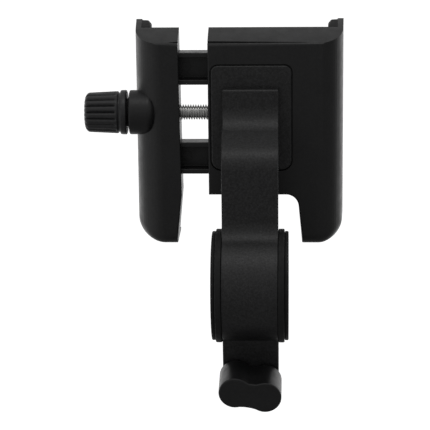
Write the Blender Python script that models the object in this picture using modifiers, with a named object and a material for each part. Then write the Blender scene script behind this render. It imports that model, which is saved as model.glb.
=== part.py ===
"""Phone mount for a handlebar: a two-jaw phone cradle on a curved arm with a hinged ring clamp.

The handlebar runs along X through the origin, Z points up along the cradle, and +Y points from the
arm towards the phone. Sizes below are in millimetres. MM turns them into metres when a mesh is made.
"""

import math

import bmesh
import bpy
from mathutils import Matrix, Vector

MM = 0.001
GAP = 0.3  # clearance between neighbouring pieces

# Ring clamp, centred on the handlebar axis. Angles run from the front (-Y) over the top.
RING_OUTER_R = 21.5
RING_BORE_R = 16.2
RING_HALF_WIDTH = 10.95
CLAMP_TILT = 10.0  # the thumb bolt slopes down towards the front by this many degrees
SPLIT_HALF_GAP = 0.6
ARM_HALF_END = 118.0  # degrees, upper end of the half ring that belongs to the arm
GATE_START = 120.0
EAR_DEPTH = 9.5
EAR_END = 41.8
BOLT_DROP = 34.7  # handlebar axis to thumb bolt axis
RING_STEP = 6.0  # degrees between the points of an arc of the ring

# Hinge of the clamp gate
HINGE_Y, HINGE_Z = 1.5, 25.5
KNUCKLE_R = 3.3
KNUCKLE_HALF_WIDTH = 3.7
PIN_R = 1.4
NECK_INNER_R, NECK_OUTER_R = 21.8, 25.2
NECK_START, NECK_END = 96.0, 128.0

# Rubber bushes
OUTER_BUSH_R = (12.9, 15.9)
INNER_BUSH_R = (11.2, 12.6)
OUTER_FLANGE_R, OUTER_FLANGE_WIDTH = 22.3, 1.9
INNER_FLANGE_R, INNER_FLANGE_WIDTH = 21.4, 1.5
BUSH_SLIT = 1.6

# Cradle
BACK_Y = 20.0
BODY_DEPTH = 13.0
WALL_DEPTH = 21.5
WALL = 1.9
BOTTOM_Z = 11.25
MIDDLE_BOTTOM_Z = 31.8
END_Z = 92.5  # height of the back edge of the sloping top end
END_SLOPE = 0.419
END_CURVE = 0.0046
SIDE_ROUND = 10.8
FLARE_START, FLARE = 8.0, 0.55  # the side walls lean outwards from this depth on, by this much
BOTTOM_ROUND = 4.0
FIXED_CORNER_R, MOVING_CORNER_R = 8.6, 9.5
FIXED_X = (-16.9, 36.35)
MOVING_X = (-45.7, -27.7)
LEG_INNER_X = 18.4
LEG_DRAFT = 1.9
JAW_LEAN = 1.2
CUTOUT_R = 5.0
COVER_THICK = 1.6
RIM = 2.0
FLOOR_Y = 23.6  # inner face of the back wall
PAD_THICK = 1.2
EDGE_PAD = 3.5

# Bracket plate let into the fixed jaw
PLATE_X = (-15.7, 16.1)
PLATE_Z = (42.1, 83.9)
PLATE_Y = (19.5, 21.1)
PLATE_TOP_R, PLATE_BOTTOM_R = 2.8, 4.0
PLATE_GAP = 0.5

# Arm, seen from the side
ARM_HALF_WIDTH = 10.95
ARM_TOP_Z = 75.2
ARM_ROOT_Y = 14.9
ARM_FRONT_Y = -4.5
ARM_REAR_Y = 7.0
ARM_SWEEP_R = 10.0
ARM_FILLET_R = 8.0

# Width drive
SCREW_Y, SCREW_Z = 26.9, 64.1
SCREW_R = 3.0
RAIL_OFFSET = 18.0
RAIL_HEIGHT = 12.8
RAIL_Y = (23.0, 30.6)
RAIL_WALL = 2.0
RAIL_X = (-39.5, 16.0)
RAIL_ROOM_X = 30.0
NUT_X = (-13.9, -7.9)
NUT_HALF = (4.2, 5.0)
BOSS_R = 8.85
BOSS_X = (-48.4, -37.5)
KNOB_X = (-66.2, -49.4)
WASHER_R = 5.6
CLIP_X = -40.0
CLIP_ROOM = 5.0

# Thumb screw, along the tilted clamp axis
HEAD_START, HEAD_LENGTH = 10.9, 15.4
HEAD_LOBE_X, HEAD_LOBE_R = 5.9, 6.4
HEAD_WAIST = 5.0, 5.55  # above and below the bolt
HEAD_TURN = 9.5  # degrees, how the head happens to stand
BOLT_R, BOLT_TIP_R = 2.45, 2.1
BOLT_TIP_START, BOLT_END = 2.4, 8.0
GATE_NUT = (3.2, 7.2)
GATE_NUT_HALF = 4.0

# Screws
BRACKET_SCREW_X, BRACKET_SCREW_Z = 7.5, (55.6, 72.6)
FIXED_COVER_SCREWS = ((-11.5, 90.8), (28.0, 90.8), (-11.5, 37.3), (27.0, 22.4))
MOVING_COVER_SCREWS = ((-36.0, 91.6), (-36.0, 24.4))
RAIL_SCREW_X = -35.0


# ---------------------------------------------------------------- scene and materials


def clear_scene():
    for obj in list(bpy.data.objects):
        bpy.data.objects.remove(obj)


def new_collection(name, hidden=False):
    collection = bpy.data.collections.new(name)
    bpy.context.scene.collection.children.link(collection)
    collection.hide_render = hidden
    return collection


def new_material(name, colour, roughness, metallic=0.0):
    material = bpy.data.materials.new(name)
    material.use_nodes = True
    shader = material.node_tree.nodes["Principled BSDF"]
    shader.inputs["Base Color"].default_value = (*colour, 1.0)
    shader.inputs["Roughness"].default_value = roughness
    shader.inputs["Metallic"].default_value = metallic
    return material


clear_scene()
PARTS = new_collection("phone_handlebar_mount")
CUTTERS = new_collection("cutters", hidden=True)
PLASTIC = (0.012, 0.012, 0.013), 0.42
COATING = (0.016, 0.016, 0.017), 0.5
RUBBER = (0.01, 0.01, 0.01), 0.75
STEEL = (0.55, 0.55, 0.54), 0.28, 1.0
BRASS = (0.62, 0.45, 0.2), 0.35, 1.0


# ---------------------------------------------------------------- outlines


def arc(centre, radius, start, end, steps):
    """Points on an arc, angles in degrees from the first axis towards the second."""
    turn = [math.radians(start + (end - start) * i / steps) for i in range(steps + 1)]
    return [(centre[0] + radius * math.cos(a), centre[1] + radius * math.sin(a)) for a in turn]


def rounded(corners, steps=6):
    """An outline from corners given as (a, b) or (a, b, radius)."""
    points = []
    for i, corner in enumerate(corners):
        here = Vector(corner[:2])
        if len(corner) == 2:
            points.append(tuple(here))
            continue
        before = (Vector(corners[i - 1][:2]) - here).normalized()
        after = (Vector(corners[(i + 1) % len(corners)][:2]) - here).normalized()
        half = before.angle(after) / 2
        centre = here + (before + after).normalized() * corner[2] / math.sin(half)
        first = here + before * corner[2] / math.tan(half) - centre
        last = here + after * corner[2] / math.tan(half) - centre
        turn = first.angle_signed(last)
        for k in range(steps + 1):
            spoke = first.copy()
            spoke.rotate(Matrix.Rotation(-turn * k / steps, 2))
            points.append(tuple(centre + spoke))
    return points


def rectangle(low, high, radius=None):
    corners = [(low[0], low[1]), (high[0], low[1]), (high[0], high[1]), (low[0], high[1])]
    return rounded([(*c, radius) for c in corners]) if radius else corners


def ring_point(radius, angle):
    """(y, z) at an angle in degrees from the front, over the top."""
    a = math.radians(angle)
    return (-radius * math.cos(a), radius * math.sin(a))


def ring_arc(radius, start, end):
    count = max(2, round(abs(end - start) / RING_STEP))
    return [ring_point(radius, start + (end - start) * i / count) for i in range(count + 1)]


def tilted(y, z):
    """(y, z) of a point given in the clamp's own tilted frame."""
    a = math.radians(CLAMP_TILT)
    return (y * math.cos(a) - z * math.sin(a), y * math.sin(a) + z * math.cos(a))


# ---------------------------------------------------------------- solids


def finish(name, mesh_data, look=None, smooth=35.0):
    """Makes an object of a bmesh in millimetres. Without a look it is a hidden cutter."""
    bmesh.ops.recalc_face_normals(mesh_data, faces=mesh_data.faces)
    bmesh.ops.scale(mesh_data, vec=(MM, MM, MM), verts=mesh_data.verts)
    mesh = bpy.data.meshes.new(name)
    mesh_data.to_mesh(mesh)
    mesh_data.free()
    mesh.shade_smooth()
    mesh.set_sharp_from_angle(angle=math.radians(smooth))
    obj = bpy.data.objects.new(name, mesh)
    if look:
        mesh.materials.append(new_material(name, *look))
        PARTS.objects.link(obj)
    else:
        CUTTERS.objects.link(obj)
        obj.hide_render = True
        obj.display_type = "WIRE"
    return obj


def along(axis, point, depth):
    """An outline point set at a depth along an axis: outlines are (y, z), (x, z) or (x, y)."""
    a, b = point
    return {"X": (depth, a, b), "Y": (a, depth, b), "Z": (a, b, depth)}[axis]


def prism(name, outline, axis, start, end, look=None, smooth=35.0):
    shape = bmesh.new()
    face = shape.faces.new([shape.verts.new(along(axis, p, start)) for p in outline])
    grown = bmesh.ops.extrude_face_region(shape, geom=[face])["geom"]
    moved = [v for v in grown if isinstance(v, bmesh.types.BMVert)]
    shift = Vector(along(axis, (0, 0), end - start))
    bmesh.ops.translate(shape, vec=shift, verts=moved)
    return finish(name, shape, look, smooth)


def block(name, low, high, look=None):
    shape = bmesh.new()
    bmesh.ops.create_cube(shape, size=1.0)
    size = Vector(high) - Vector(low)
    bmesh.ops.scale(shape, vec=size, verts=shape.verts)
    bmesh.ops.translate(shape, vec=Vector(low) + size / 2, verts=shape.verts)
    return finish(name, shape, look)


def turned(name, profile, place, look=None, steps=32, smooth=35.0):
    """A turned solid: profile is (distance along the axis, radius), starting and ending on it."""
    shape = bmesh.new()
    points = [shape.verts.new((radius, 0.0, height)) for height, radius in profile]
    edges = [shape.edges.new(pair) for pair in zip(points, points[1:])]
    bmesh.ops.spin(
        shape, geom=points + edges, axis=(0, 0, 1), cent=(0, 0, 0), angle=2 * math.pi, steps=steps
    )
    bmesh.ops.remove_doubles(shape, verts=shape.verts, dist=0.001)
    bmesh.ops.transform(shape, matrix=place, verts=shape.verts)
    return finish(name, shape, look, smooth)


def ring_turned(name, profile, place, look=None, steps=32):
    """A turned solid whose closed profile never meets the axis."""
    shape = bmesh.new()
    points = [shape.verts.new((radius, 0.0, height)) for height, radius in profile]
    edges = [shape.edges.new(pair) for pair in zip(points, points[1:] + points[:1])]
    bmesh.ops.spin(
        shape, geom=points + edges, axis=(0, 0, 1), cent=(0, 0, 0), angle=2 * math.pi, steps=steps
    )
    bmesh.ops.remove_doubles(shape, verts=shape.verts, dist=0.001)
    bmesh.ops.transform(shape, matrix=place, verts=shape.verts)
    return finish(name, shape, look)


def rod(name, place, start, end, radius, look=None, steps=20):
    return turned(name, [(start, 0), (start, radius), (end, radius), (end, 0)], place, look, steps)


def pointing(origin, direction):
    """The matrix that stands a turned solid's axis at an origin, along a direction."""
    turn = Vector((0, 0, 1)).rotation_difference(Vector(direction).normalized())
    return Matrix.Translation(origin) @ turn.to_matrix().to_4x4()


def boolean(obj, other, operation):
    modifier = obj.modifiers.new(operation.lower(), "BOOLEAN")
    modifier.operation = operation
    modifier.object = other
    modifier.solver = "EXACT"


def cut(obj, *others):
    for other in others:
        boolean(obj, other, "DIFFERENCE")


def join(obj, *others):
    for other in others:
        boolean(obj, other, "UNION")


def bevel(obj, width, segments=2, angle=40.0):
    modifier = obj.modifiers.new("bevel", "BEVEL")
    modifier.width = width * MM
    modifier.segments = segments
    modifier.limit_method = "ANGLE"
    modifier.angle_limit = math.radians(angle)


def set_origin(obj, point):
    """Moves an object's origin onto a point given in millimetres, leaving its shape in place."""
    shift = Vector(point) * MM
    obj.data.transform(Matrix.Translation(-shift))
    obj.location = shift


# ---------------------------------------------------------------- clamp


SCREW_AXIS = pointing((0, SCREW_Y, SCREW_Z), (1, 0, 0))
PIN_AXIS = pointing((0, HINGE_Y, HINGE_Z), (1, 0, 0))
BAR_AXIS = pointing((0, 0, 0), (1, 0, 0))
BOLT_ORIGIN = (0, *tilted(0, -BOLT_DROP))
BOLT_AXIS = pointing(BOLT_ORIGIN, (0, *tilted(1, 0)))  # distances count from the split, rearwards


def arm_profile():
    """Side outline of the arm, the front half ring and the front ear, in one piece."""
    fillet_z = math.sqrt(
        (RING_OUTER_R + ARM_FILLET_R) ** 2 - (ARM_FILLET_R - ARM_FRONT_Y) ** 2
    )
    meet = math.degrees(math.atan2(fillet_z, ARM_FILLET_R - ARM_FRONT_Y))
    sweep = rounded(
        [
            (BACK_Y + 0.6, ARM_TOP_Z),
            (ARM_ROOT_Y, ARM_TOP_Z, 0.9),
            (ARM_ROOT_Y - 0.1, 62.6, ARM_SWEEP_R),
            (ARM_FRONT_Y, 52.6, ARM_SWEEP_R),
            (ARM_FRONT_Y, fillet_z),
        ],
        steps=9,
    )
    fillet = arc((ARM_FRONT_Y - ARM_FILLET_R, fillet_z), ARM_FILLET_R, 0, -meet, 8)[1:-1]
    ear_angle = -90 - CLAMP_TILT + math.degrees(math.asin(EAR_DEPTH / RING_OUTER_R))
    front = ring_arc(RING_OUTER_R, meet, ear_angle)
    ear = [
        tilted(-EAR_DEPTH, -EAR_END + 1.5),
        tilted(-EAR_DEPTH + 1.5, -EAR_END),
        tilted(-SPLIT_HALF_GAP, -EAR_END),
    ]
    split = -90 - CLAMP_TILT + math.degrees(math.asin(SPLIT_HALF_GAP / RING_BORE_R))
    bore = ring_arc(RING_BORE_R, split, ARM_HALF_END)
    rear_angle = 180 - math.degrees(math.acos(ARM_REAR_Y / RING_OUTER_R))
    top = ring_arc(RING_OUTER_R, ARM_HALF_END, rear_angle)
    rear = rounded(
        [
            (ARM_REAR_Y, 30.0),
            (ARM_REAR_Y, 41.6, 6.0),
            (17.6, 48.1, 2.5),
            (BACK_Y + 0.6, 48.1),
        ],
        steps=5,
    )
    return sweep + fillet + front + ear + bore + top + rear


def plate_outline(grow=0.0):
    low, high = PLATE_Z[0] - grow, PLATE_Z[1] + grow
    left, right = PLATE_X[0] - grow, PLATE_X[1] + grow
    return rounded(
        [
            (left, low, PLATE_BOTTOM_R + grow),
            (right, low, PLATE_BOTTOM_R + grow),
            (right, high, PLATE_TOP_R + grow),
            (left, high, PLATE_TOP_R + grow),
        ]
    )


def slot_outline():
    """Side outline of the slot in the back of the arm where the gate's knuckle turns."""
    front, top = HINGE_Y - KNUCKLE_R - 0.5, HINGE_Z + KNUCKLE_R + 1.0
    start = math.degrees(math.acos(-front / RING_OUTER_R))
    return ring_arc(RING_OUTER_R + 0.02, start, ARM_HALF_END + 7) + [(16.0, top), (front, top)]


def make_arm_bracket():
    arm = prism(
        "arm_bracket", arm_profile(), "X", -ARM_HALF_WIDTH, ARM_HALF_WIDTH, COATING, smooth=30.0
    )
    bevel(arm, 0.6)
    plate = prism("bracket_plate", plate_outline(), "Y", *PLATE_Y)
    bevel(plate, 0.5)
    join(arm, plate)
    slot = prism(
        "hinge_slot", slot_outline(), "X", -KNUCKLE_HALF_WIDTH - GAP, KNUCKLE_HALF_WIDTH + GAP
    )
    pin_hole = rod("pin_hole", PIN_AXIS, -20, 20, PIN_R + GAP)
    bolt_hole = rod("bolt_hole", BOLT_AXIS, -20, 1, BOLT_R + GAP)
    cut(arm, slot, pin_hole, bolt_hole)
    for i, (x, z) in enumerate(bracket_screw_places()):
        hole = rod(f"bracket_hole_{i + 1}", pointing((x, 17.0, z), (0, 1, 0)), -0.3, 8, 1.6, steps=14)
        cut(arm, hole)
    return arm


def gate_profile():
    """Side outline of the rear half ring and the rear ear."""
    ear_angle = 270 - CLAMP_TILT - math.degrees(math.asin(EAR_DEPTH / RING_OUTER_R))
    outer = ring_arc(RING_OUTER_R, GATE_START, ear_angle)
    ear = [
        tilted(EAR_DEPTH, -EAR_END + 1.5),
        tilted(EAR_DEPTH - 1.5, -EAR_END),
        tilted(SPLIT_HALF_GAP, -EAR_END),
    ]
    split = 270 - CLAMP_TILT - math.degrees(math.asin(SPLIT_HALF_GAP / RING_BORE_R))
    return outer + ear + ring_arc(RING_BORE_R, split, GATE_START)


def make_clamp_gate():
    gate = prism("clamp_gate", gate_profile(), "X", -RING_HALF_WIDTH, RING_HALF_WIDTH, COATING)
    bevel(gate, 0.6)
    half = KNUCKLE_HALF_WIDTH
    neck = prism("neck", gate_neck_outline(), "X", -half, half)
    knuckle = rod("knuckle", PIN_AXIS, -half, half, KNUCKLE_R, steps=32)
    join(gate, neck, knuckle)
    pin_hole = rod("gate_pin_hole", PIN_AXIS, -20, 20, PIN_R + GAP)
    bolt_hole = rod("gate_bolt_hole", BOLT_AXIS, 0, 20, 3.0)
    nut_room = nut_block("gate_nut_room", GATE_NUT[0] - GAP, 14, GATE_NUT_HALF + GAP)
    cut(gate, pin_hole, bolt_hole, nut_room)
    return gate


def gate_neck_outline():
    """The strap from the knuckle over the top of the ring to the gate."""
    outer = ring_arc(NECK_OUTER_R, NECK_START, NECK_END - 12)
    taper = [ring_point(NECK_OUTER_R - 0.8, NECK_END - 6), ring_point(NECK_OUTER_R - 2.4, NECK_END + 2)]
    foot = [ring_point(RING_OUTER_R - 1.5, NECK_END + 9), ring_point(RING_OUTER_R - 1.5, GATE_START + 2)]
    return outer + taper + foot + ring_arc(NECK_INNER_R, GATE_START + 1, NECK_START)


def nut_block(name, start, end, half, look=None):
    """A square block on the thumb bolt's axis."""
    outline = [tilted(start, -BOLT_DROP - half), tilted(end, -BOLT_DROP - half)]
    outline += [tilted(end, -BOLT_DROP + half), tilted(start, -BOLT_DROP + half)]
    return prism(name, outline, "X", -half, half, look)


def make_bush(name, radii, flange_r, width, inner_x):
    """A split rubber sleeve with a flange at each end."""
    bore, sleeve = radii
    outer_x = inner_x + width
    profile = [(-outer_x, bore), (outer_x, bore), (outer_x, flange_r), (inner_x, flange_r)]
    profile += [(inner_x, sleeve), (-inner_x, sleeve), (-inner_x, flange_r), (-outer_x, flange_r)]
    bush = ring_turned(name, profile, BAR_AXIS, RUBBER, steps=48)
    slit = prism(
        name + "_slit",
        [tilted(y, z) for y, z in rectangle((-BUSH_SLIT / 2, -30), (BUSH_SLIT / 2, -5))],
        "X",
        -20,
        20,
    )
    cut(bush, slit)
    return bush


def make_clamp_hardware():
    rod("hinge_pin", PIN_AXIS, -10.6, 10.6, PIN_R, STEEL, steps=24)
    inner_x = RING_HALF_WIDTH + GAP
    make_bush("outer_bush", OUTER_BUSH_R, OUTER_FLANGE_R, OUTER_FLANGE_WIDTH, inner_x)
    inner_x += OUTER_FLANGE_WIDTH + GAP
    make_bush("inner_bush", INNER_BUSH_R, INNER_FLANGE_R, INNER_FLANGE_WIDTH, inner_x)
    nut = nut_block("gate_nut", *GATE_NUT, GATE_NUT_HALF, STEEL)
    cut(nut, rod("gate_nut_bore", BOLT_AXIS, 0, 20, 2.65))


def head_outline():
    """The thumb head seen along its axis: two lobes joined by a waist."""
    turn = Matrix.Rotation(math.radians(HEAD_TURN), 2)
    right = arc((HEAD_LOBE_X, 0), HEAD_LOBE_R, -116, 116, 12)
    high, low = HEAD_WAIST
    points = right + [(1.2, low), (-1.2, low)]
    points += [(-x, -z) for x, z in right] + [(-1.2, -high), (1.2, -high)]
    return [tuple(turn @ Vector(p)) for p in points]


def make_thumb_screw():
    ring_turned(
        "thumb_washer",
        [(-10.6, BOLT_R + GAP), (-9.8, BOLT_R + GAP), (-9.8, 4.2), (-10.6, 4.2)],
        BOLT_AXIS,
        STEEL,
        steps=24,
    )
    head = prism("thumb_head", head_outline(), "Z", -HEAD_START - HEAD_LENGTH, -HEAD_START, PLASTIC)
    head.data.transform(scaled_place(BOLT_AXIS))
    bevel(head, 1.0)
    cut(head, rod("head_bore", BOLT_AXIS, -22.0, 0, BOLT_R + GAP))
    turned(
        "thumb_bolt",
        [
            (-21.7, 0),
            (-21.7, BOLT_R),
            (BOLT_TIP_START, BOLT_R),
            (BOLT_TIP_START + 0.3, BOLT_TIP_R),
            (BOLT_END - 0.5, BOLT_TIP_R),
            (BOLT_END, BOLT_TIP_R - 0.5),
            (BOLT_END, 0),
        ],
        BOLT_AXIS,
        STEEL,
        steps=24,
    )


def scaled_place(place):
    """A placement in millimetres for a mesh that is already in metres."""
    moved = place.copy()
    moved.translation = place.translation * MM
    return moved


# ---------------------------------------------------------------- jaws


def end_height(depth):
    """Height of the sloping, slightly domed top end at a depth behind the back face."""
    return END_Z + END_SLOPE * depth - END_CURVE * depth * depth


def top_cutter(name):
    depths = [WALL_DEPTH * 1.1 * i / 12 for i in range(13)]
    outline = [(BACK_Y + d, end_height(d)) for d in depths]
    outline += [(BACK_Y + WALL_DEPTH * 1.1, 130), (BACK_Y - 12, 130), (BACK_Y - 12, END_Z - 2)]
    return prism(name, outline, "X", -70, 60)


def quarter(depth, radius):
    """How far a quarter-round edge of this radius stands in at a depth."""
    if depth >= radius:
        return 0.0
    return radius * (1 - math.sqrt(1 - (1 - depth / radius) ** 2))


def side_inset(depth):
    """How far the side wall stands in from its nominal place at a depth."""
    lean = max(0.0, depth - FLARE_START) / (WALL_DEPTH - FLARE_START)
    return quarter(depth, SIDE_ROUND) - FLARE * lean


def jaw_sections(outline_at):
    """The rounded jaw as a loft: one outline at each depth, edges rounding over at the back."""
    depths = [0, 0.12, 0.45, 1.0, 1.8, 2.8, 4.0, 5.6, 7.8, SIDE_ROUND, WALL_DEPTH]
    return [(BACK_Y + d, outline_at(side_inset(d), quarter(d, BOTTOM_ROUND))) for d in depths]


def loft(name, sections, look=None, smooth=30.0):
    """Joins outlines with the same number of points, set at different depths along Y."""
    shape = bmesh.new()
    rings = [[shape.verts.new((x, y, z)) for x, z in outline] for y, outline in sections]
    for near, far in zip(rings, rings[1:]):
        for i in range(len(near)):
            k = (i + 1) % len(near)
            shape.faces.new((near[i], near[k], far[k], far[i]))
    shape.faces.new(rings[0])
    shape.faces.new(reversed(rings[-1]))
    return finish(name, shape, look, smooth)


def fixed_outline(side, bottom):
    left, right = FIXED_X[0], FIXED_X[1] - side
    low = BOTTOM_Z + bottom
    edge = 0.25 if bottom > 3.9 else 0.0
    return rounded(
        [
            (left + edge, 115),
            (right, 115),
            (right, low, max(FIXED_CORNER_R - 0.7 * side, 2.0)),
            (LEG_INNER_X + LEG_DRAFT + edge, low, 0.5),
            (LEG_INNER_X + edge, MIDDLE_BOTTOM_Z + edge, CUTOUT_R),
            (left + edge, MIDDLE_BOTTOM_Z + edge),
        ]
    )


def moving_outline(side, bottom):
    left, right = MOVING_X[0] + side, MOVING_X[1]
    low = BOTTOM_Z + bottom
    edge = 0.25 if bottom > 3.9 else 0.0
    return rounded(
        [
            (right - edge - JAW_LEAN, 115),
            (left, 115),
            (left, low, max(MOVING_CORNER_R - 0.55 * side, 2.0)),
            (right - LEG_DRAFT - edge, low, 0.4),
            (right - edge, MIDDLE_BOTTOM_Z, 3.0),
        ]
    )


def pocket_outline(inset, x_range, mirror=1):
    """The room inside a jaw's side and bottom wall, open at the top and towards the other jaw."""
    outer = x_range[1] if mirror > 0 else x_range[0]
    inner = x_range[0] if mirror > 0 else x_range[1]
    low = BOTTOM_Z + inset
    return rounded(
        [
            (inner - 12 * mirror, 130),
            (outer - inset * mirror, 130),
            (outer - inset * mirror, low, max(FIXED_CORNER_R - inset, 1.5)),
            (inner - 12 * mirror, low),
        ]
    )


def fixed_cover_outline(grow=0.0):
    right, low = FIXED_X[1] - WALL - RIM - 0.6 + grow, BOTTOM_Z + WALL + RIM + 0.8 - grow
    left, middle = FIXED_X[0] + RIM + GAP - grow, MIDDLE_BOTTOM_Z + RIM + 0.7 - grow
    return rounded(
        [
            (left, END_Z + 1.4 + grow),
            (right, END_Z + 1.4 + grow),
            (right, low, 6.5),
            (LEG_INNER_X + LEG_DRAFT + RIM - grow, low, 0.8),
            (LEG_INNER_X + RIM - grow, middle, CUTOUT_R),
            (left, middle),
        ]
    )


def moving_cover_outline(grow=0.0):
    left, low = MOVING_X[0] + WALL + RIM + 0.6 - grow, BOTTOM_Z + WALL + RIM + 0.8 - grow
    right = MOVING_X[1] - RIM - 0.6 + grow
    return rounded(
        [
            (right, END_Z + 1.4 + grow),
            (left, END_Z + 1.4 + grow),
            (left, low, 5.5),
            (right - LEG_DRAFT, low, 0.8),
            (right, MIDDLE_BOTTOM_Z, 3.0),
        ]
    )


def rail_heights():
    return SCREW_Z + RAIL_OFFSET, SCREW_Z - RAIL_OFFSET


def bracket_screw_places():
    return [(x, z) for z in BRACKET_SCREW_Z for x in (-BRACKET_SCREW_X, BRACKET_SCREW_X)]


def cover_y():
    """Rear face of the cover, then its front face."""
    return BACK_Y + BODY_DEPTH - COVER_THICK, BACK_Y + BODY_DEPTH


def make_fixed_jaw():
    shell = loft("fixed_jaw_shell", jaw_sections(fixed_outline), PLASTIC)
    pocket_y = BACK_Y + BODY_DEPTH
    cover_back = cover_y()[0]
    cut(
        shell,
        prism("fixed_pocket", pocket_outline(WALL, FIXED_X), "Y", pocket_y, 60),
        top_cutter("fixed_top_cutter"),
        prism("fixed_cover_seat", fixed_cover_outline(GAP), "Y", cover_back - GAP, 60),
        prism("plate_recess", plate_outline(PLATE_GAP), "Y", 0, PLATE_Y[1] + GAP),
    )
    half = RAIL_HEIGHT / 2 + GAP
    for i, z in enumerate(rail_heights()):
        low, high = (-30, RAIL_Y[0] - GAP, z - half), (RAIL_ROOM_X, RAIL_Y[1] + GAP, z + half)
        cut(shell, block(f"rail_way_{i + 1}", low, high))
        back = (FIXED_X[0] + 2, RAIL_Y[1], z - half + 1), (RAIL_ROOM_X - 2, cover_back, z + half - 1)
        cut(shell, block(f"rail_opening_{i + 1}", *back))
    cut(
        shell,
        rod("screw_way", SCREW_AXIS, -30, RAIL_ROOM_X, SCREW_R + 0.4),
        block(
            "nut_room",
            (NUT_X[0] - GAP, SCREW_Y - NUT_HALF[0] - GAP, SCREW_Z - NUT_HALF[1] - GAP),
            (NUT_X[1] + GAP, cover_back, SCREW_Z + NUT_HALF[1] + GAP),
        ),
    )
    for i, z in enumerate(BRACKET_SCREW_Z):
        low = (-4.4, FLOOR_Y, z - 3.4)
        cut(shell, block(f"screw_room_{i + 1}", low, (RAIL_ROOM_X, cover_back, z + 3.4)))
    for i, (x, z) in enumerate(bracket_screw_places()):
        place = pointing((x, FLOOR_Y, z), (0, 1, 0))
        cut(shell, rod(f"fixed_hole_{i + 1}", place, -4, 1, 1.6, steps=14))
        cut(shell, rod(f"fixed_head_room_{i + 1}", place, 0, 9, 3.1, steps=24))
    cut(shell, block("leg_room", (23.5, FLOOR_Y, 27.6), (31.0, cover_back, 37.6)))
    cut_cover_screw_holes(shell, "fixed", FIXED_COVER_SCREWS)
    cover = prism("fixed_jaw_cover", fixed_cover_outline(), "Y", *cover_y(), PLASTIC)
    make_cover_screws(cover, "fixed", FIXED_COVER_SCREWS)
    return shell


def cut_cover_screw_holes(shell, side, places):
    for i, (x, z) in enumerate(places):
        place = pointing((x, cover_y()[1], z), (0, 1, 0))
        cut(shell, rod(f"{side}_boss_hole_{i + 1}", place, -8.3, 0, 1.5, steps=14))


def make_cover_screws(cover, side, places):
    """Countersunk screws that hold a cover, each with its seat in the cover."""
    for i, (x, z) in enumerate(places):
        place = pointing((x, cover_y()[1], z), (0, 1, 0))
        seat = turned(
            f"{side}_seat_{i + 1}",
            [(-3, 0), (-3, 1.55), (-1.3, 1.55), (0.1, 2.95), (0.1, 0)],
            place,
            steps=16,
        )
        cut(cover, seat)
        turned(
            f"{side}_cover_screw_{i + 1}",
            [(-8, 0), (-8, 1.2), (-1.3, 1.2), (-0.15, 2.35), (-0.15, 0)],
            place,
            STEEL,
            steps=16,
        )


def make_moving_jaw():
    shell = loft("moving_jaw_shell", jaw_sections(moving_outline), PLASTIC)
    pocket_y = BACK_Y + BODY_DEPTH
    cover_back = cover_y()[0]
    boss = turned(
        "boss",
        [
            (BOSS_X[0], 0),
            (BOSS_X[0], BOSS_R - 0.6),
            (BOSS_X[0] + 0.6, BOSS_R),
            (BOSS_X[1] - 3.6, BOSS_R),
            (BOSS_X[1] - 1.3, BOSS_R - 1.2),
            (BOSS_X[1], BOSS_R - 3.8),
            (BOSS_X[1], 0),
        ],
        SCREW_AXIS,
        steps=48,
    )
    join(shell, boss)
    cut(
        shell,
        prism("moving_pocket", pocket_outline(WALL, MOVING_X, mirror=-1), "Y", pocket_y, 60),
        top_cutter("moving_top_cutter"),
        prism("moving_cover_seat", moving_cover_outline(GAP), "Y", cover_back - GAP, 60),
        block(
            "clip_room",
            (CLIP_X - 1.4, SCREW_Y - CLIP_ROOM, SCREW_Z - CLIP_ROOM),
            (CLIP_X + 1.4, cover_back, SCREW_Z + CLIP_ROOM),
        ),
    )
    half = RAIL_HEIGHT / 2 + GAP
    inner = RAIL_HEIGHT / 2 - RAIL_WALL - GAP
    for i, z in enumerate(rail_heights()):
        seat = block(
            f"rail_seat_{i + 1}",
            (RAIL_X[0] - GAP, RAIL_Y[0] - GAP, z - half),
            (0, cover_back, z + half),
        )
        core = block(
            f"rail_core_{i + 1}",
            (RAIL_SCREW_X - 3.5, BACK_Y + 1.5, z - inner),
            (RAIL_SCREW_X + 3.5, RAIL_Y[1] - RAIL_WALL - GAP, z + inner),
        )
        cut(shell, seat)
        join(shell, core)
        place = pointing((RAIL_SCREW_X, RAIL_Y[1], z), (0, 1, 0))
        cut(shell, rod(f"rail_screw_hole_{i + 1}", place, -7.3, 0, 1.5, steps=14))
    cut_cover_screw_holes(shell, "moving", MOVING_COVER_SCREWS)
    cut(shell, rod("bearing_bore", SCREW_AXIS, -60, 0, SCREW_R + GAP))
    cover = prism("moving_jaw_cover", moving_cover_outline(), "Y", *cover_y(), PLASTIC)
    make_cover_screws(cover, "moving", MOVING_COVER_SCREWS)
    return shell


def make_rails():
    """Two channel-section rails, open to the front, screwed into the moving jaw."""
    for name, z in zip(("upper_rail", "lower_rail"), rail_heights()):
        half, inner = RAIL_HEIGHT / 2, RAIL_HEIGHT / 2 - RAIL_WALL
        web = RAIL_Y[1] - RAIL_WALL
        outline = [
            (RAIL_Y[0], z - half),
            (RAIL_Y[1], z - half),
            (RAIL_Y[1], z + half),
            (RAIL_Y[0], z + half),
            (RAIL_Y[0], z + inner),
            (web, z + inner),
            (web, z - inner),
            (RAIL_Y[0], z - inner),
        ]
        rail = prism(name, outline, "X", *RAIL_X, PLASTIC)
        bevel(rail, 0.3, segments=1)
        place = pointing((RAIL_SCREW_X, RAIL_Y[1], z), (0, 1, 0))
        cut(rail, rod(name + "_hole", place, -4, 1, 1.5, steps=14))
        cut(rail, rod(name + "_head_room", place, -0.9, 1, 2.8, steps=14))
        turned(
            name + "_screw",
            [(-7, 0), (-7, 1.2), (-0.6, 1.2), (-0.6, 2.4), (0.5, 2.4), (0.5, 0)],
            place,
            STEEL,
            steps=20,
        )


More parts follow.
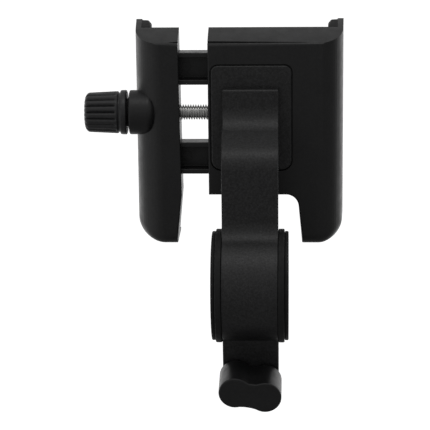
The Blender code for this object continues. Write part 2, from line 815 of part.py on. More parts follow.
def edge_pad(name, x_range, mirror):
    """Rubber strip that lines the side wall and turns the corner onto the bottom wall."""
    outer_inset, inner_inset = WALL + GAP, WALL + GAP + EDGE_PAD
    low_y, high_y = cover_y()[1] + GAP, BACK_Y + WALL_DEPTH - 0.6
    pad = prism(name, pocket_outline(outer_inset, x_range, mirror), "Y", low_y, high_y, RUBBER)
    hollow = pocket_outline(inner_inset, x_range, mirror)
    cut(pad, prism(name + "_hollow", hollow, "Y", low_y - 5, high_y + 5))
    cut(pad, top_cutter(name + "_top_cutter"))
    end = x_range[0] if mirror > 0 else x_range[1]
    leg = LEG_INNER_X + LEG_DRAFT + 0.6 if mirror > 0 else x_range[1] - LEG_DRAFT - 0.8
    low, high = sorted((end - 40 * mirror, leg))
    cut(pad, block(name + "_end", (low, low_y - 6, -10), (high, high_y + 6, 150)))
    return pad


def back_pad(name, low, high):
    """Flat rubber pad with shallow ribs where the phone rests."""
    y = cover_y()[1] + GAP
    pad = prism(name, rectangle(low, high, 3.0), "Y", y, y + PAD_THICK, RUBBER)
    width = high[0] - low[0]
    count = int((high[1] - low[1] - 8) // 6)
    for i in range(count):
        z = low[1] + 6 + 6 * i
        groove = (low[0] + width * 0.12, y + PAD_THICK - 0.4, z), (high[0] - width * 0.12, y + 5, z + 1.0)
        cut(pad, block(f"{name}_groove_{i + 1}", *groove))
    return pad


def make_pads():
    edge_pad("fixed_jaw_edge_pad", FIXED_X, 1)
    edge_pad("moving_jaw_edge_pad", MOVING_X, -1)
    back_pad("fixed_jaw_back_pad", (-13.5, 37.6), (26.5, 86.6))
    back_pad("moving_jaw_back_pad", (-38.6, 37.6), (-31.0, 86.6))


# ---------------------------------------------------------------- width drive


def make_knob():
    left, right = KNOB_X
    collar = right - 2.7
    profile = [
        (left, 0),
        (left, 5.6),
        (left + 0.5, 7.1),
        (left + 1.4, 7.85),
        (collar - 0.9, 8.35),
        (collar - 0.5, 7.9),
        (collar, 7.9),
        (collar + 0.3, 8.7),
        (right - 0.4, 8.9),
        (right, 8.5),
        (right, 0),
    ]
    knob = turned("clamp_knob", profile, SCREW_AXIS, PLASTIC, steps=54)
    for i in range(18):
        angle = 2 * math.pi * i / 18
        offset = 8.9
        place = pointing(
            (0, SCREW_Y + offset * math.cos(angle), SCREW_Z + offset * math.sin(angle)), (1, 0, 0)
        )
        cut(knob, rod(f"flute_{i + 1}", place, left - 2, collar - 1.4, 0.95, steps=8))
    cut(knob, rod("knob_bore", SCREW_AXIS, left + 3, right + 5, SCREW_R + GAP))
    return knob


def make_drive():
    make_knob()
    turned(
        "lead_screw",
        [
            (KNOB_X[0] + 3.3, 0),
            (KNOB_X[0] + 3.3, SCREW_R),
            (CLIP_X - 0.7, SCREW_R),
            (CLIP_X - 0.7, 2.3),
            (CLIP_X + 0.7, 2.3),
            (CLIP_X + 0.7, SCREW_R),
            (RAIL_X[1] - 0.8, SCREW_R),
            (RAIL_X[1], SCREW_R - 0.8),
            (RAIL_X[1], 0),
        ],
        SCREW_AXIS,
        STEEL,
        steps=24,
    )
    near, far = KNOB_X[1] + GAP, BOSS_X[0] - 0.1
    washer = [(near, SCREW_R + GAP), (far, SCREW_R + GAP), (far, WASHER_R), (near, WASHER_R)]
    ring_turned("thrust_washer", washer, SCREW_AXIS, PLASTIC, steps=32)
    clip = [(CLIP_X - 0.4, 2.6), (CLIP_X + 0.4, 2.6), (CLIP_X + 0.4, 4.1), (CLIP_X - 0.4, 4.1)]
    ring_turned("retaining_clip", clip, SCREW_AXIS, STEEL, steps=24)
    nut = block(
        "jaw_nut",
        (NUT_X[0], SCREW_Y - NUT_HALF[0], SCREW_Z - NUT_HALF[1]),
        (NUT_X[1], SCREW_Y + NUT_HALF[0], SCREW_Z + NUT_HALF[1]),
        BRASS,
    )
    cut(nut, rod("jaw_nut_bore", SCREW_AXIS, -30, 30, SCREW_R + GAP))


def make_bracket_screws():
    for i, (x, z) in enumerate(bracket_screw_places()):
        place = pointing((x, FLOOR_Y + GAP, z), (0, 1, 0))
        profile = [(-6.4, 0), (-6.4, 1.3), (0, 1.3), (0, 2.7), (1.4, 2.7), (1.9, 2.1), (1.9, 0)]
        turned(f"bracket_screw_{i + 1}", profile, place, STEEL, steps=16)


# ---------------------------------------------------------------- build


def place_origins():
    """Puts the origin of each moving piece on its joint's axis."""
    hinge = (0, HINGE_Y, HINGE_Z)
    drive = (KNOB_X[1], SCREW_Y, SCREW_Z)
    points = {"clamp_gate": hinge, "gate_nut": hinge}
    points |= {name: drive for name in ("clamp_knob", "lead_screw", "retaining_clip")}
    points |= {name: BOLT_ORIGIN for name in ("thumb_washer", "thumb_head", "thumb_bolt")}
    for name, point in points.items():
        set_origin(bpy.data.objects[name], point)


make_arm_bracket()
make_clamp_gate()
make_clamp_hardware()
make_thumb_screw()
make_fixed_jaw()
make_moving_jaw()
make_rails()
make_pads()
make_drive()
make_bracket_screws()
place_origins()
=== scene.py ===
"""Looks of the phone handlebar mount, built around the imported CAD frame.

Every piece is made again here as a finished mesh with its edges rounded, its threads cut and its
grain in the material, and rides on the CAD body that it belongs to. Sizes are in millimetres and
MM turns them into metres when a mesh is made. Places come from the boxes of the CAD nodes.
"""

import math

import bmesh
import bpy
from mathutils import Matrix, Vector


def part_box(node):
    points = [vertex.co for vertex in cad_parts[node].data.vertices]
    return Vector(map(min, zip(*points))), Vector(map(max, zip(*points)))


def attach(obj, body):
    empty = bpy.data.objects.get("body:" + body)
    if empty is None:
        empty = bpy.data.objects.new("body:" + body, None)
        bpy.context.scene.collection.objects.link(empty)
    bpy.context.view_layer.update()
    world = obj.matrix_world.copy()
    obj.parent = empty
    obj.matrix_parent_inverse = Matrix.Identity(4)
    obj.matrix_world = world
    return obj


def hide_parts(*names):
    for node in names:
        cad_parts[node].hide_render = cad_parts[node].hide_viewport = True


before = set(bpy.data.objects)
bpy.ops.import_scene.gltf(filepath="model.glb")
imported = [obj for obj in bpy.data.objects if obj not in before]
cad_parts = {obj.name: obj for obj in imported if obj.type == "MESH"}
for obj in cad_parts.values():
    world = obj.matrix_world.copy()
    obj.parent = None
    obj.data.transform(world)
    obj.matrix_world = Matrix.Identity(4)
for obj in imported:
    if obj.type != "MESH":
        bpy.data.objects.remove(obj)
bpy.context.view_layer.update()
MM = 0.001


def span(node, axis):
    """Lowest and highest coordinate of a CAD node along an axis, in millimetres."""
    low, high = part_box(node)
    return low["XYZ".index(axis)] / MM, high["XYZ".index(axis)] / MM


# ---------------------------------------------------------------- driving sizes, from the frame

GAP = 0.3  # clearance between neighbouring pieces

# Ring clamp: angles run from the front (-Y) over the top
ARM_HALF_WIDTH = 10.95
RING_OUTER_R, RING_BORE_R = 21.5, 16.2
CLAMP_TILT = 10.0  # the thumb bolt slopes down towards the front by this many degrees
SPLIT_HALF_GAP = 0.6
ARM_HALF_END, GATE_START = 118.0, 120.0
EAR_DEPTH, EAR_END = 9.5, 41.8
BOLT_DROP = 34.7
HINGE_Y, HINGE_Z = (sum(span("hinge_pin", axis)) / 2 for axis in "YZ")
KNUCKLE_R, KNUCKLE_HALF_WIDTH = 3.3, 3.7
NECK_R, NECK_ANGLES = (21.8, 25.2), (96.0, 128.0)
PIN_R, PIN_HALF_LENGTH = 1.4, 10.6
OUTER_BUSH_R, OUTER_FLANGE_R, OUTER_FLANGE_WIDTH = (12.9, 15.9), 22.3, 2.4
INNER_BUSH_R, INNER_FLANGE_R, INNER_FLANGE_WIDTH = (11.2, 12.6), 21.4, 1.5
OUTER_FLANGE_X, INNER_FLANGE_X = ARM_HALF_WIDTH + 0.05, ARM_HALF_WIDTH + 2 * GAP + 1.9

# Thumb screw, along the bolt's axis
HEAD_FRONT, HEAD_BACK, HEAD_EDGE, HEAD_TURN = -26.3, -10.9, 0.6, 9.5
HEAD_LOBE_X, HEAD_LOBE_R = 5.9, 6.4
HEAD_WAIST = 5.0, 5.55  # above and below the bolt
BOLT_X, BOLT_R, BOLT_PITCH, BOLT_THREAD = (-21.7, 8.0), 2.45, 0.8, 0.38
BOLT_HOLE_R = 2.75

# Cradle
BACK_Y = span("fixed_jaw_shell", "Y")[0]
WALL_DEPTH = span("fixed_jaw_shell", "Y")[1] - BACK_Y
COVER_Y = span("fixed_jaw_cover", "Y")
FLARE_START, FLARE = 8.0, 0.55  # the side walls lean outwards from this depth on, by this much
FIXED_X = (span("fixed_jaw_shell", "X")[0], span("fixed_jaw_shell", "X")[1] - FLARE)
MOVING_X = (-45.7, -27.7)
BOTTOM_Z = span("fixed_jaw_shell", "Z")[0]
WALL, RIM = 1.9, 2.0
MIDDLE_BOTTOM_Z = 31.8
END_Z, END_SLOPE, END_CURVE, END_ROUND = 92.5, 0.419, 0.0046, 0.9
SIDE_ROUND, BOTTOM_ROUND, EDGE_ROUND = 10.8, 4.0, 0.5
FIXED_CORNER_R, MOVING_CORNER_R = 8.6, 9.5
LEG_INNER_X, LEG_DRAFT, JAW_LEAN, CUTOUT_R = 18.4, 1.9, 1.2, 5.0
JAW_TOP, CLEAR_Z = 115, 130  # a jaw's top before its sloping end is cut, and a cutter's top
SEAM_END_X, SEAM_DEPTH = 22.5, 2.2
PAD_FACE = WALL + GAP + 3.5  # how far the face of an edge pad stands in from the jaw's outside

# Plate of the arm, let into the fixed jaw
PLATE_X, PLATE_Z, PLATE_Y = (-15.7, 16.1), (42.1, 83.9), (19.5, 21.1)
PLATE_TOP_R, PLATE_BOTTOM_R, PLATE_GAP = 2.8, 4.0, 0.5
ARM_TOP_Z, ARM_ROOT_Y, ARM_FRONT_Y, ARM_REAR_Y = 75.2, 14.9, -4.5, 7.0
ARM_SWEEP_R, ARM_FILLET_R = 10.0, 8.0

# Width drive
SCREW_Y, SCREW_Z = (sum(span("lead_screw", axis)) / 2 for axis in "YZ")
SCREW_X = span("lead_screw", "X")
SCREW_R = 3.0
KNOB_X = span("clamp_knob", "X")
RAIL_X, RAIL_Y = span("upper_rail", "X"), span("upper_rail", "Y")
RAIL_HEIGHTS = [sum(span(node, "Z")) / 2 for node in ("upper_rail", "lower_rail")]
RAIL_HEIGHT, RAIL_WALL = 12.8, 2.0
MARKS_X, MARK_R = (-25.8, -4.0), (1.75, 2.05)
BOSS_R, BOSS_X = 8.85, (-48.4, -37.5)
FLUTES, FLUTE_DEPTH = 18, 0.85
WASHER_R, CLIP_R = (3.3, 5.6), (2.6, 4.1)
SCREW_PITCH, SCREW_THREAD = 1.0, 0.75

# Fineness of the meshes
ARC_STEP, BEVEL_ANGLE = 3.0, 40.0  # degrees
THREAD_ROWS, THREAD_SIDES, THREAD_CHAMFER = 12, 30, 1.0
CROSS_REACH, CROSS_DEPTH = 1.5, 1.1


# ---------------------------------------------------------------- outlines


def arc(centre, radius, start, end, steps):
    """Points on an arc, angles in degrees from the first axis towards the second."""
    turn = [math.radians(start + (end - start) * i / steps) for i in range(steps + 1)]
    return [(centre[0] + radius * math.cos(a), centre[1] + radius * math.sin(a)) for a in turn]


def rounded(corners, steps=12):
    """An outline from corners given as (a, b) or (a, b, radius)."""
    points = []
    for i, corner in enumerate(corners):
        here = Vector(corner[:2])
        if len(corner) == 2:
            points.append(tuple(here))
            continue
        before = (Vector(corners[i - 1][:2]) - here).normalized()
        after = (Vector(corners[(i + 1) % len(corners)][:2]) - here).normalized()
        half = before.angle(after) / 2
        centre = here + (before + after).normalized() * corner[2] / math.sin(half)
        first = here + before * corner[2] / math.tan(half) - centre
        last = here + after * corner[2] / math.tan(half) - centre
        turn = first.angle_signed(last)
        for k in range(steps + 1):
            spoke = first.copy()
            spoke.rotate(Matrix.Rotation(-turn * k / steps, 2))
            points.append(tuple(centre + spoke))
    return points


def rectangle(low, high, radius=None, steps=8):
    corners = [(low[0], low[1]), (high[0], low[1]), (high[0], high[1]), (low[0], high[1])]
    return rounded([(*c, radius) for c in corners], steps) if radius else corners


def ring_point(radius, angle):
    """(y, z) at an angle in degrees from the front, over the top."""
    a = math.radians(angle)
    return (-radius * math.cos(a), radius * math.sin(a))


def ring_arc(radius, start, end):
    count = max(2, round(abs(end - start) / ARC_STEP))
    return [ring_point(radius, start + (end - start) * i / count) for i in range(count + 1)]


def tilted(y, z):
    """(y, z) of a point given in the clamp's own tilted frame."""
    a = math.radians(CLAMP_TILT)
    return (y * math.cos(a) - z * math.sin(a), y * math.sin(a) + z * math.cos(a))


def soft_profile(points, radius, steps=4):
    """A turned profile, (distance along the axis, radius), with its inner corners rounded."""
    ends = points[:1], points[-1:]
    middle = []
    for before, here, after in zip(points, points[1:], points[2:]):
        a, b, c = Vector(before), Vector(here), Vector(after)
        reach = min(radius, (a - b).length * 0.45, (c - b).length * 0.45)
        first, last = b + (a - b).normalized() * reach, b + (c - b).normalized() * reach
        for k in range(steps + 1):
            t = k / steps
            middle.append(tuple(first * (1 - t) ** 2 + b * 2 * t * (1 - t) + last * t * t))
    return ends[0] + middle + ends[1]


# ---------------------------------------------------------------- solids


def solid(name, shape):
    """An object of a bmesh in millimetres. It stays hidden until it is dressed."""
    bmesh.ops.recalc_face_normals(shape, faces=shape.faces)
    bmesh.ops.scale(shape, vec=(MM, MM, MM), verts=shape.verts)
    mesh = bpy.data.meshes.new(name)
    shape.to_mesh(mesh)
    shape.free()
    obj = bpy.data.objects.new(name, mesh)
    bpy.context.scene.collection.objects.link(obj)
    obj.hide_render = True
    return obj


def along(axis, point, depth):
    """An outline point set at a depth along an axis: outlines are (y, z), (x, z) or (x, y)."""
    a, b = point
    return {"X": (depth, a, b), "Y": (a, depth, b), "Z": (a, b, depth)}[axis]


def loft(name, sections, axis="Y", place=None):
    """Joins outlines with the same number of points, set at different depths along an axis."""
    shape = bmesh.new()
    rings = [
        [shape.verts.new(along(axis, p, depth)) for p in outline] for depth, outline in sections
    ]
    for near, far in zip(rings, rings[1:]):
        for i in range(len(near)):
            k = (i + 1) % len(near)
            shape.faces.new((near[i], near[k], far[k], far[i]))
    shape.faces.new(rings[0])
    shape.faces.new(reversed(rings[-1]))
    if place:
        bmesh.ops.transform(shape, matrix=place, verts=shape.verts)
    return solid(name, shape)


def prism(name, outline, axis, start, end):
    return loft(name, [(start, outline), (end, outline)], axis)


def block(name, low, high):
    outline = rectangle((low[0], low[1]), (high[0], high[1]))
    return prism(name, outline, "Z", low[2], high[2])


def grid_turned(name, heights, radius_at, place, steps):
    """A turned solid whose radius may change with the angle: radius_at(height, angle).

    Heights are distances along the axis. A flat cap closes each end.
    """
    shape = bmesh.new()
    rings = []
    for height in heights:
        ring = []
        for k in range(steps):
            a = 2 * math.pi * k / steps
            r = radius_at(height, a)
            ring.append(shape.verts.new((r * math.cos(a), r * math.sin(a), height)))
        rings.append(ring)
    for near, far in zip(rings, rings[1:]):
        for i in range(steps):
            k = (i + 1) % steps
            shape.faces.new((near[i], near[k], far[k], far[i]))
    shape.faces.new(rings[0])
    shape.faces.new(reversed(rings[-1]))
    bmesh.ops.transform(shape, matrix=place, verts=shape.verts)
    return solid(name, shape)


def turned(name, profile, place, steps=64, ring=False):
    """A turned solid. A ring's profile is closed and never meets the axis."""
    shape = bmesh.new()
    points = [shape.verts.new((radius, 0.0, height)) for height, radius in profile]
    pairs = zip(points, points[1:] + points[:1]) if ring else zip(points, points[1:])
    edges = [shape.edges.new(pair) for pair in pairs]
    bmesh.ops.spin(
        shape, geom=points + edges, axis=(0, 0, 1), cent=(0, 0, 0), angle=2 * math.pi, steps=steps
    )
    bmesh.ops.remove_doubles(shape, verts=shape.verts, dist=0.001)
    bmesh.ops.transform(shape, matrix=place, verts=shape.verts)
    return solid(name, shape)


def rod(name, place, start, end, radius, steps=32):
    return turned(name, [(start, 0), (start, radius), (end, radius), (end, 0)], place, steps)


def pointing(origin, direction):
    """The matrix that stands a turned solid's axis at an origin, along a direction."""
    turn = Vector((0, 0, 1)).rotation_difference(Vector(direction).normalized())
    return Matrix.Translation(origin) @ turn.to_matrix().to_4x4()


def settle(obj):
    """Applies an object's modifiers to its mesh."""
    bpy.context.view_layer.update()
    graph = bpy.context.evaluated_depsgraph_get()
    mesh = bpy.data.meshes.new_from_object(obj.evaluated_get(graph))
    obj.modifiers.clear()
    obj.data = mesh
    return obj


def combine(obj, others, operation):
    """One Boolean with several solids, which are then removed."""
    for other in others:
        modifier = obj.modifiers.new(other.name, "BOOLEAN")
        modifier.operation = operation
        modifier.object = other
        modifier.solver = "MANIFOLD"
    settle(obj)
    for other in others:
        bpy.data.objects.remove(other)
    return obj


def cut(obj, *others):
    return combine(obj, others, "DIFFERENCE")


def join(obj, *others):
    return combine(obj, others, "UNION")


def bevel(obj, width, segments=3, clamp=True):
    """Rounds the edges that are sharper than BEVEL_ANGLE."""
    modifier = obj.modifiers.new("bevel", "BEVEL")
    modifier.width = width * MM
    modifier.segments = segments
    modifier.limit_method = "ANGLE"
    modifier.angle_limit = math.radians(BEVEL_ANGLE)
    modifier.use_clamp_overlap = clamp
    return settle(obj)


def dress(obj, nodes, body, material, smooth=38.0):
    """Turns a hidden solid into a shown piece that stands for CAD nodes and rides on a body."""
    settle(obj)
    obj.data.materials.clear()
    obj.data.materials.append(material)
    obj.data.shade_smooth()
    obj.data.set_sharp_from_angle(angle=math.radians(smooth))
    modifier = obj.modifiers.new("normals", "WEIGHTED_NORMAL")
    modifier.keep_sharp = True
    settle(obj)
    obj.hide_render = False
    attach(obj, body)
    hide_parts(*([nodes] if isinstance(nodes, str) else nodes))
    return obj


# ---------------------------------------------------------------- materials


class Look:
    """A Principled material put together from object-space noise."""

    def __init__(self, name, roughness, metallic=0.0, specular=0.5):
        self.material = bpy.data.materials.new(name)
        self.material.use_nodes = True
        self.tree = self.material.node_tree
        self.shader = self.tree.nodes["Principled BSDF"]
        self.shader.inputs["Metallic"].default_value = metallic
        self.shader.inputs["Roughness"].default_value = roughness
        self.shader.inputs["Specular IOR Level"].default_value = specular
        self.place = self.tree.nodes.new("ShaderNodeTexCoord").outputs["Object"]
        self.bump = None

    def add(self, kind, **inputs):
        node = self.tree.nodes.new(kind)
        for name, value in inputs.items():
            socket = node.inputs[name.replace("_", " ")]
            if isinstance(value, bpy.types.NodeSocket):
                self.tree.links.new(value, socket)
            else:
                socket.default_value = value
        return node

    def noise(self, size, detail=3.0, roughness=0.55, stretch=None):
        """Noise whose features are about this many millimetres across."""
        place = self.place
        if stretch:
            place = self.add("ShaderNodeMapping", Vector=place, Scale=stretch).outputs[0]
        node = self.add(
            "ShaderNodeTexNoise",
            Vector=place,
            Scale=1 / (size * MM),
            Detail=detail,
            Roughness=roughness,
        )
        return node.outputs["Fac"]

    def remap(self, value, low, high, start=0.3, end=0.7):
        node = self.add(
            "ShaderNodeMapRange",
            Value=value,
            From_Min=start,
            From_Max=end,
            To_Min=low,
            To_Max=high,
        )
        return node.outputs["Result"]

    def colour(self, dark, light, value):
        """Base colour that runs from dark to light with a value between 0 and 1."""
        ramp = self.add("ShaderNodeValToRGB", Fac=value)
        ramp.color_ramp.elements[0].color = (*dark, 1.0)
        ramp.color_ramp.elements[1].color = (*light, 1.0)
        self.tree.links.new(ramp.outputs["Color"], self.shader.inputs["Base Color"])

    def rough(self, value):
        self.tree.links.new(value, self.shader.inputs["Roughness"])

    def raise_by(self, value, height, strength=1.0):
        """Bump of this height in millimetres, on top of any bump there is already."""
        node = self.add("ShaderNodeBump", Height=value, Strength=strength, Distance=height * MM)
        if self.bump:
            self.tree.links.new(self.bump, node.inputs["Normal"])
        self.bump = node.outputs["Normal"]
        self.tree.links.new(self.bump, self.shader.inputs["Normal"])


def moulded_plastic(name="moulded_plastic", lift=1.0):
    """Black plastic with a fine grain; lift multiplies its base colour, and a lift above 1 paints
    light into that colour.
    """
    look = Look(name, 0.42)
    cloud = look.noise(9.0, 4.0)
    grain = look.noise(0.28, 2.0, 0.6)
    fleck = look.add("ShaderNodeMath", Value=look.remap(look.noise(0.9, 3.0, 0.7), 0, 0.7))
    fleck.operation = "ADD"
    look.tree.links.new(look.remap(cloud, 0, 0.3), fleck.inputs[1])
    tones = (0.0025, 0.0025, 0.003), (0.0115, 0.0115, 0.012)
    dark, light = ([lift * part for part in tone] for tone in tones)
    look.colour(dark, light, fleck.outputs[0])
    look.rough(look.remap(look.noise(4.0, 5.0, 0.6), 0.36, 0.5))
    look.raise_by(grain, 0.025, 0.5)
    look.raise_by(look.noise(1.1, 3.0, 0.6), 0.03, 0.4)
    return look.material


def powder_coating():
    look = Look("powder_coating", 0.46)
    speckle = look.noise(0.8, 4.0, 0.8)
    speckle = look.remap(speckle, 0, 1, 0.38, 0.66)
    look.colour((0.002, 0.002, 0.0022), (0.026, 0.026, 0.027), speckle)
    look.rough(look.remap(look.noise(0.7, 4.0, 0.7), 0.36, 0.56))
    look.raise_by(look.noise(0.75, 3.0, 0.65), 0.09, 0.8)
    look.raise_by(look.noise(5.0, 2.0), 0.05, 0.25)
    return look.material


def soft_rubber():
    look = Look("soft_rubber", 0.7, specular=0.35)
    cloud = look.remap(look.noise(1.2, 6.0, 0.7), 0, 1)
    look.colour((0.005, 0.005, 0.005), (0.012, 0.012, 0.012), cloud)
    look.rough(look.remap(look.noise(2.5, 4.0), 0.6, 0.78))
    look.raise_by(look.noise(0.2, 3.0, 0.6), 0.02, 0.5)
    look.raise_by(look.noise(3.0, 2.0), 0.03, 0.3)
    return look.material


def turned_steel(name="turned_steel", dark=(0.5, 0.5, 0.49), light=(0.74, 0.74, 0.73)):
    look = Look(name, 0.28, metallic=1.0)
    look.colour(dark, light, look.remap(look.noise(1.5, 5.0, 0.6), 0, 1))
    look.rough(look.remap(look.noise(0.8, 4.0, 0.6), 0.2, 0.38))
    look.raise_by(look.noise(0.12, 2.0, stretch=(6.0, 0.6, 0.6)), 0.006, 0.4)
    return look.material


PLASTIC = moulded_plastic()
# The knob's plastic is this plastic with its base colour 2.6 times lighter: painted light that
# stands in for the light its front catches.
PAINTED_LIGHT_PLASTIC = moulded_plastic("plastic_painted_lighter", 2.6)
COATING = powder_coating()
RUBBER = soft_rubber()
STEEL = turned_steel()
BRASS = turned_steel("machined_brass", (0.52, 0.36, 0.14), (0.68, 0.5, 0.24))


# ---------------------------------------------------------------- places

SCREW_AXIS = pointing((0, SCREW_Y, SCREW_Z), (1, 0, 0))
PIN_AXIS = pointing((0, HINGE_Y, HINGE_Z), (1, 0, 0))
BAR_AXIS = pointing((0, 0, 0), (1, 0, 0))
BOLT_AXIS = pointing((0, *tilted(0, -BOLT_DROP)), (0, *tilted(1, 0)))


# ---------------------------------------------------------------- arm and clamp


def arm_profile():
    """Side outline of the arm, the front half ring and the front ear, in one piece."""
    fillet_z = math.sqrt((RING_OUTER_R + ARM_FILLET_R) ** 2 - (ARM_FILLET_R - ARM_FRONT_Y) ** 2)
    meet = math.degrees(math.atan2(fillet_z, ARM_FILLET_R - ARM_FRONT_Y))
    sweep = rounded(
        [
            (BACK_Y + 0.6, ARM_TOP_Z),
            (ARM_ROOT_Y, ARM_TOP_Z, 0.9),
            (ARM_ROOT_Y - 0.1, 62.6, ARM_SWEEP_R),
            (ARM_FRONT_Y, 52.6, ARM_SWEEP_R),
            (ARM_FRONT_Y, fillet_z),
        ],
        16,
    )
    fillet = arc((ARM_FRONT_Y - ARM_FILLET_R, fillet_z), ARM_FILLET_R, 0, -meet, 16)[1:-1]
    ear_angle = -90 - CLAMP_TILT + math.degrees(math.asin(EAR_DEPTH / RING_OUTER_R))
    ear = rounded(
        [
            ring_point(RING_OUTER_R, ear_angle),
            (*tilted(-EAR_DEPTH, -EAR_END), 1.5),
            (*tilted(-SPLIT_HALF_GAP, -EAR_END), 0.3),
            tilted(-SPLIT_HALF_GAP, -RING_BORE_R),
        ],
        5,
    )[1:-1]
    split = -90 - CLAMP_TILT + math.degrees(math.asin(SPLIT_HALF_GAP / RING_BORE_R))
    rear_angle = 180 - math.degrees(math.acos(ARM_REAR_Y / RING_OUTER_R))
    rear = rounded(
        [
            (ARM_REAR_Y, 30.0),
            (ARM_REAR_Y, 41.6, 6.0),
            (17.6, 48.1, 2.5),
            (BACK_Y + 0.6, 48.1),
        ],
        8,
    )
    return (
        sweep
        + fillet
        + ring_arc(RING_OUTER_R, meet, ear_angle)
        + ear
        + ring_arc(RING_BORE_R, split, ARM_HALF_END)
        + ring_arc(RING_OUTER_R, ARM_HALF_END, rear_angle)
        + rear
    )


def plate_outline(grow=0.0):
    low, high = PLATE_Z[0] - grow, PLATE_Z[1] + grow
    left, right = PLATE_X[0] - grow, PLATE_X[1] + grow
    return rounded(
        [
            (left, low, PLATE_BOTTOM_R + grow),
            (right, low, PLATE_BOTTOM_R + grow),
            (right, high, PLATE_TOP_R + grow),
            (left, high, PLATE_TOP_R + grow),
        ]
    )


def slot_outline():
    """Side outline of the slot in the back of the arm where the gate's knuckle turns."""
    front, top = HINGE_Y - KNUCKLE_R - 0.5, HINGE_Z + KNUCKLE_R + 1.0
    start = math.degrees(math.acos(-front / RING_OUTER_R))
    return ring_arc(RING_OUTER_R + 0.02, start, ARM_HALF_END + 7) + [(16.0, top), (front, top)]


BRACKET_SCREWS = [
    (sum(span(f"bracket_screw_{i}", "X")) / 2, sum(span(f"bracket_screw_{i}", "Z")) / 2)
    for i in range(1, 5)
]


def make_arm():
    arm = prism("arm", arm_profile(), "X", -ARM_HALF_WIDTH, ARM_HALF_WIDTH)
    bevel(arm, 0.7)
    plate = bevel(prism("plate", plate_outline(), "Y", *PLATE_Y), 0.6)
    join(arm, plate)
    half = KNUCKLE_HALF_WIDTH + GAP
    holes = [
        rod(f"hole_{i}", pointing((x, 17.0, z), (0, 1, 0)), -0.3, 8, 1.6)
        for i, (x, z) in enumerate(BRACKET_SCREWS)
    ]
    cut(
        arm,
        prism("hinge_slot", slot_outline(), "X", -half, half),
        rod("pin_hole", PIN_AXIS, -20, 20, PIN_R + GAP),
        rod("bolt_hole", BOLT_AXIS, -20, 1, BOLT_HOLE_R),
        *holes,
    )
    dress(arm, "arm_bracket", "base", COATING)


def gate_profile():
    """Side outline of the rear half ring and the rear ear."""
    ear_angle = 270 - CLAMP_TILT - math.degrees(math.asin(EAR_DEPTH / RING_OUTER_R))
    ear = rounded(
        [
            ring_point(RING_OUTER_R, ear_angle),
            (*tilted(EAR_DEPTH, -EAR_END), 1.5),
            (*tilted(SPLIT_HALF_GAP, -EAR_END), 0.3),
            tilted(SPLIT_HALF_GAP, -RING_BORE_R),
        ],
        5,
    )[1:-1]
    split = 270 - CLAMP_TILT - math.degrees(math.asin(SPLIT_HALF_GAP / RING_BORE_R))
    outside = ring_arc(RING_OUTER_R, GATE_START, ear_angle)
    return outside + ear + ring_arc(RING_BORE_R, split, GATE_START)


def neck_outline():
    """The strap from the knuckle over the top of the ring to the gate."""
    (inner, outer), (start, end) = NECK_R, NECK_ANGLES
    taper = [ring_point(outer - 0.8, end - 6), ring_point(outer - 2.4, end + 2)]
    foot = [ring_point(RING_OUTER_R - 1.5, end + 9), ring_point(RING_OUTER_R - 1.5, GATE_START + 2)]
    return ring_arc(outer, start, end - 12) + taper + foot + ring_arc(inner, GATE_START + 1, start)


def nut_block(name, start, end, half):
    """A square block on the thumb bolt's axis."""
    outline = [tilted(start, -BOLT_DROP - half), tilted(end, -BOLT_DROP - half)]
    outline += [tilted(end, -BOLT_DROP + half), tilted(start, -BOLT_DROP + half)]
    return prism(name, outline, "X", -half, half)


def make_gate():
    gate = prism("gate", gate_profile(), "X", -ARM_HALF_WIDTH, ARM_HALF_WIDTH)
    bevel(gate, 0.7)
    half = KNUCKLE_HALF_WIDTH
    neck = bevel(prism("neck", neck_outline(), "X", -half, half), 0.3, 2)
    knuckle = rod("knuckle", PIN_AXIS, -half, half, KNUCKLE_R, 48)
    join(gate, neck, knuckle)
    cut(
        gate,
        rod("gate_pin_hole", PIN_AXIS, -20, 20, PIN_R + GAP),
        rod("gate_bolt_hole", BOLT_AXIS, 0, 20, 3.0),
        nut_block("nut_room", 2.9, 14, 4.3),
    )
    dress(gate, "clamp_gate", "gate", COATING)
    nut = bevel(nut_block("nut", 3.2, 7.2, 4.0), 0.35, 2)
    cut(
        nut,
        rod("nut_bore", BOLT_AXIS, 0, 20, 2.65),
        turned("nut_mouth", [(6.4, 0), (6.4, 2.6), (7.3, 3.4), (7.3, 0)], BOLT_AXIS, 48),
    )
    dress(nut, "gate_nut", "gate", STEEL)


def make_bush(name, node, radii, flange_r, width, inner_x):
    """A split rubber sleeve with a soft-edged flange at each end."""
    bore, sleeve = radii
    outer_x = inner_x + width
    half = [(0, bore), (outer_x, bore), (outer_x, flange_r)]
    half += [(inner_x, flange_r), (inner_x, sleeve), (0, sleeve)]
    right = soft_profile(half, 0.5)[1:-1]
    left = [(-height, radius) for height, radius in reversed(right)]
    bush = turned(name, right + left, BAR_AXIS, 120, ring=True)
    slit = [tilted(y, z) for y, z in rectangle((-0.8, -30), (0.8, -5))]
    cut(bush, prism("slit", slit, "X", -20, 20))
    dress(bush, node, "base", RUBBER)


def make_pin():
    half = PIN_HALF_LENGTH
    profile = [(-half, 0), (-half, PIN_R), (half, PIN_R), (half, 0)]
    pin = turned("pin", soft_profile(profile, 0.35), PIN_AXIS, 40)
    dress(pin, "hinge_pin", "base", STEEL)


# ---------------------------------------------------------------- threads and screws


def thread_depth(phase, depth):
    """How far a thread's flank stands in from its crest: flat crest, sloping flanks, round root."""
    t = abs((phase % 1.0) - 0.5) * 2
    return depth * min(1.0, max(0.0, (t - 0.4) / 0.35))


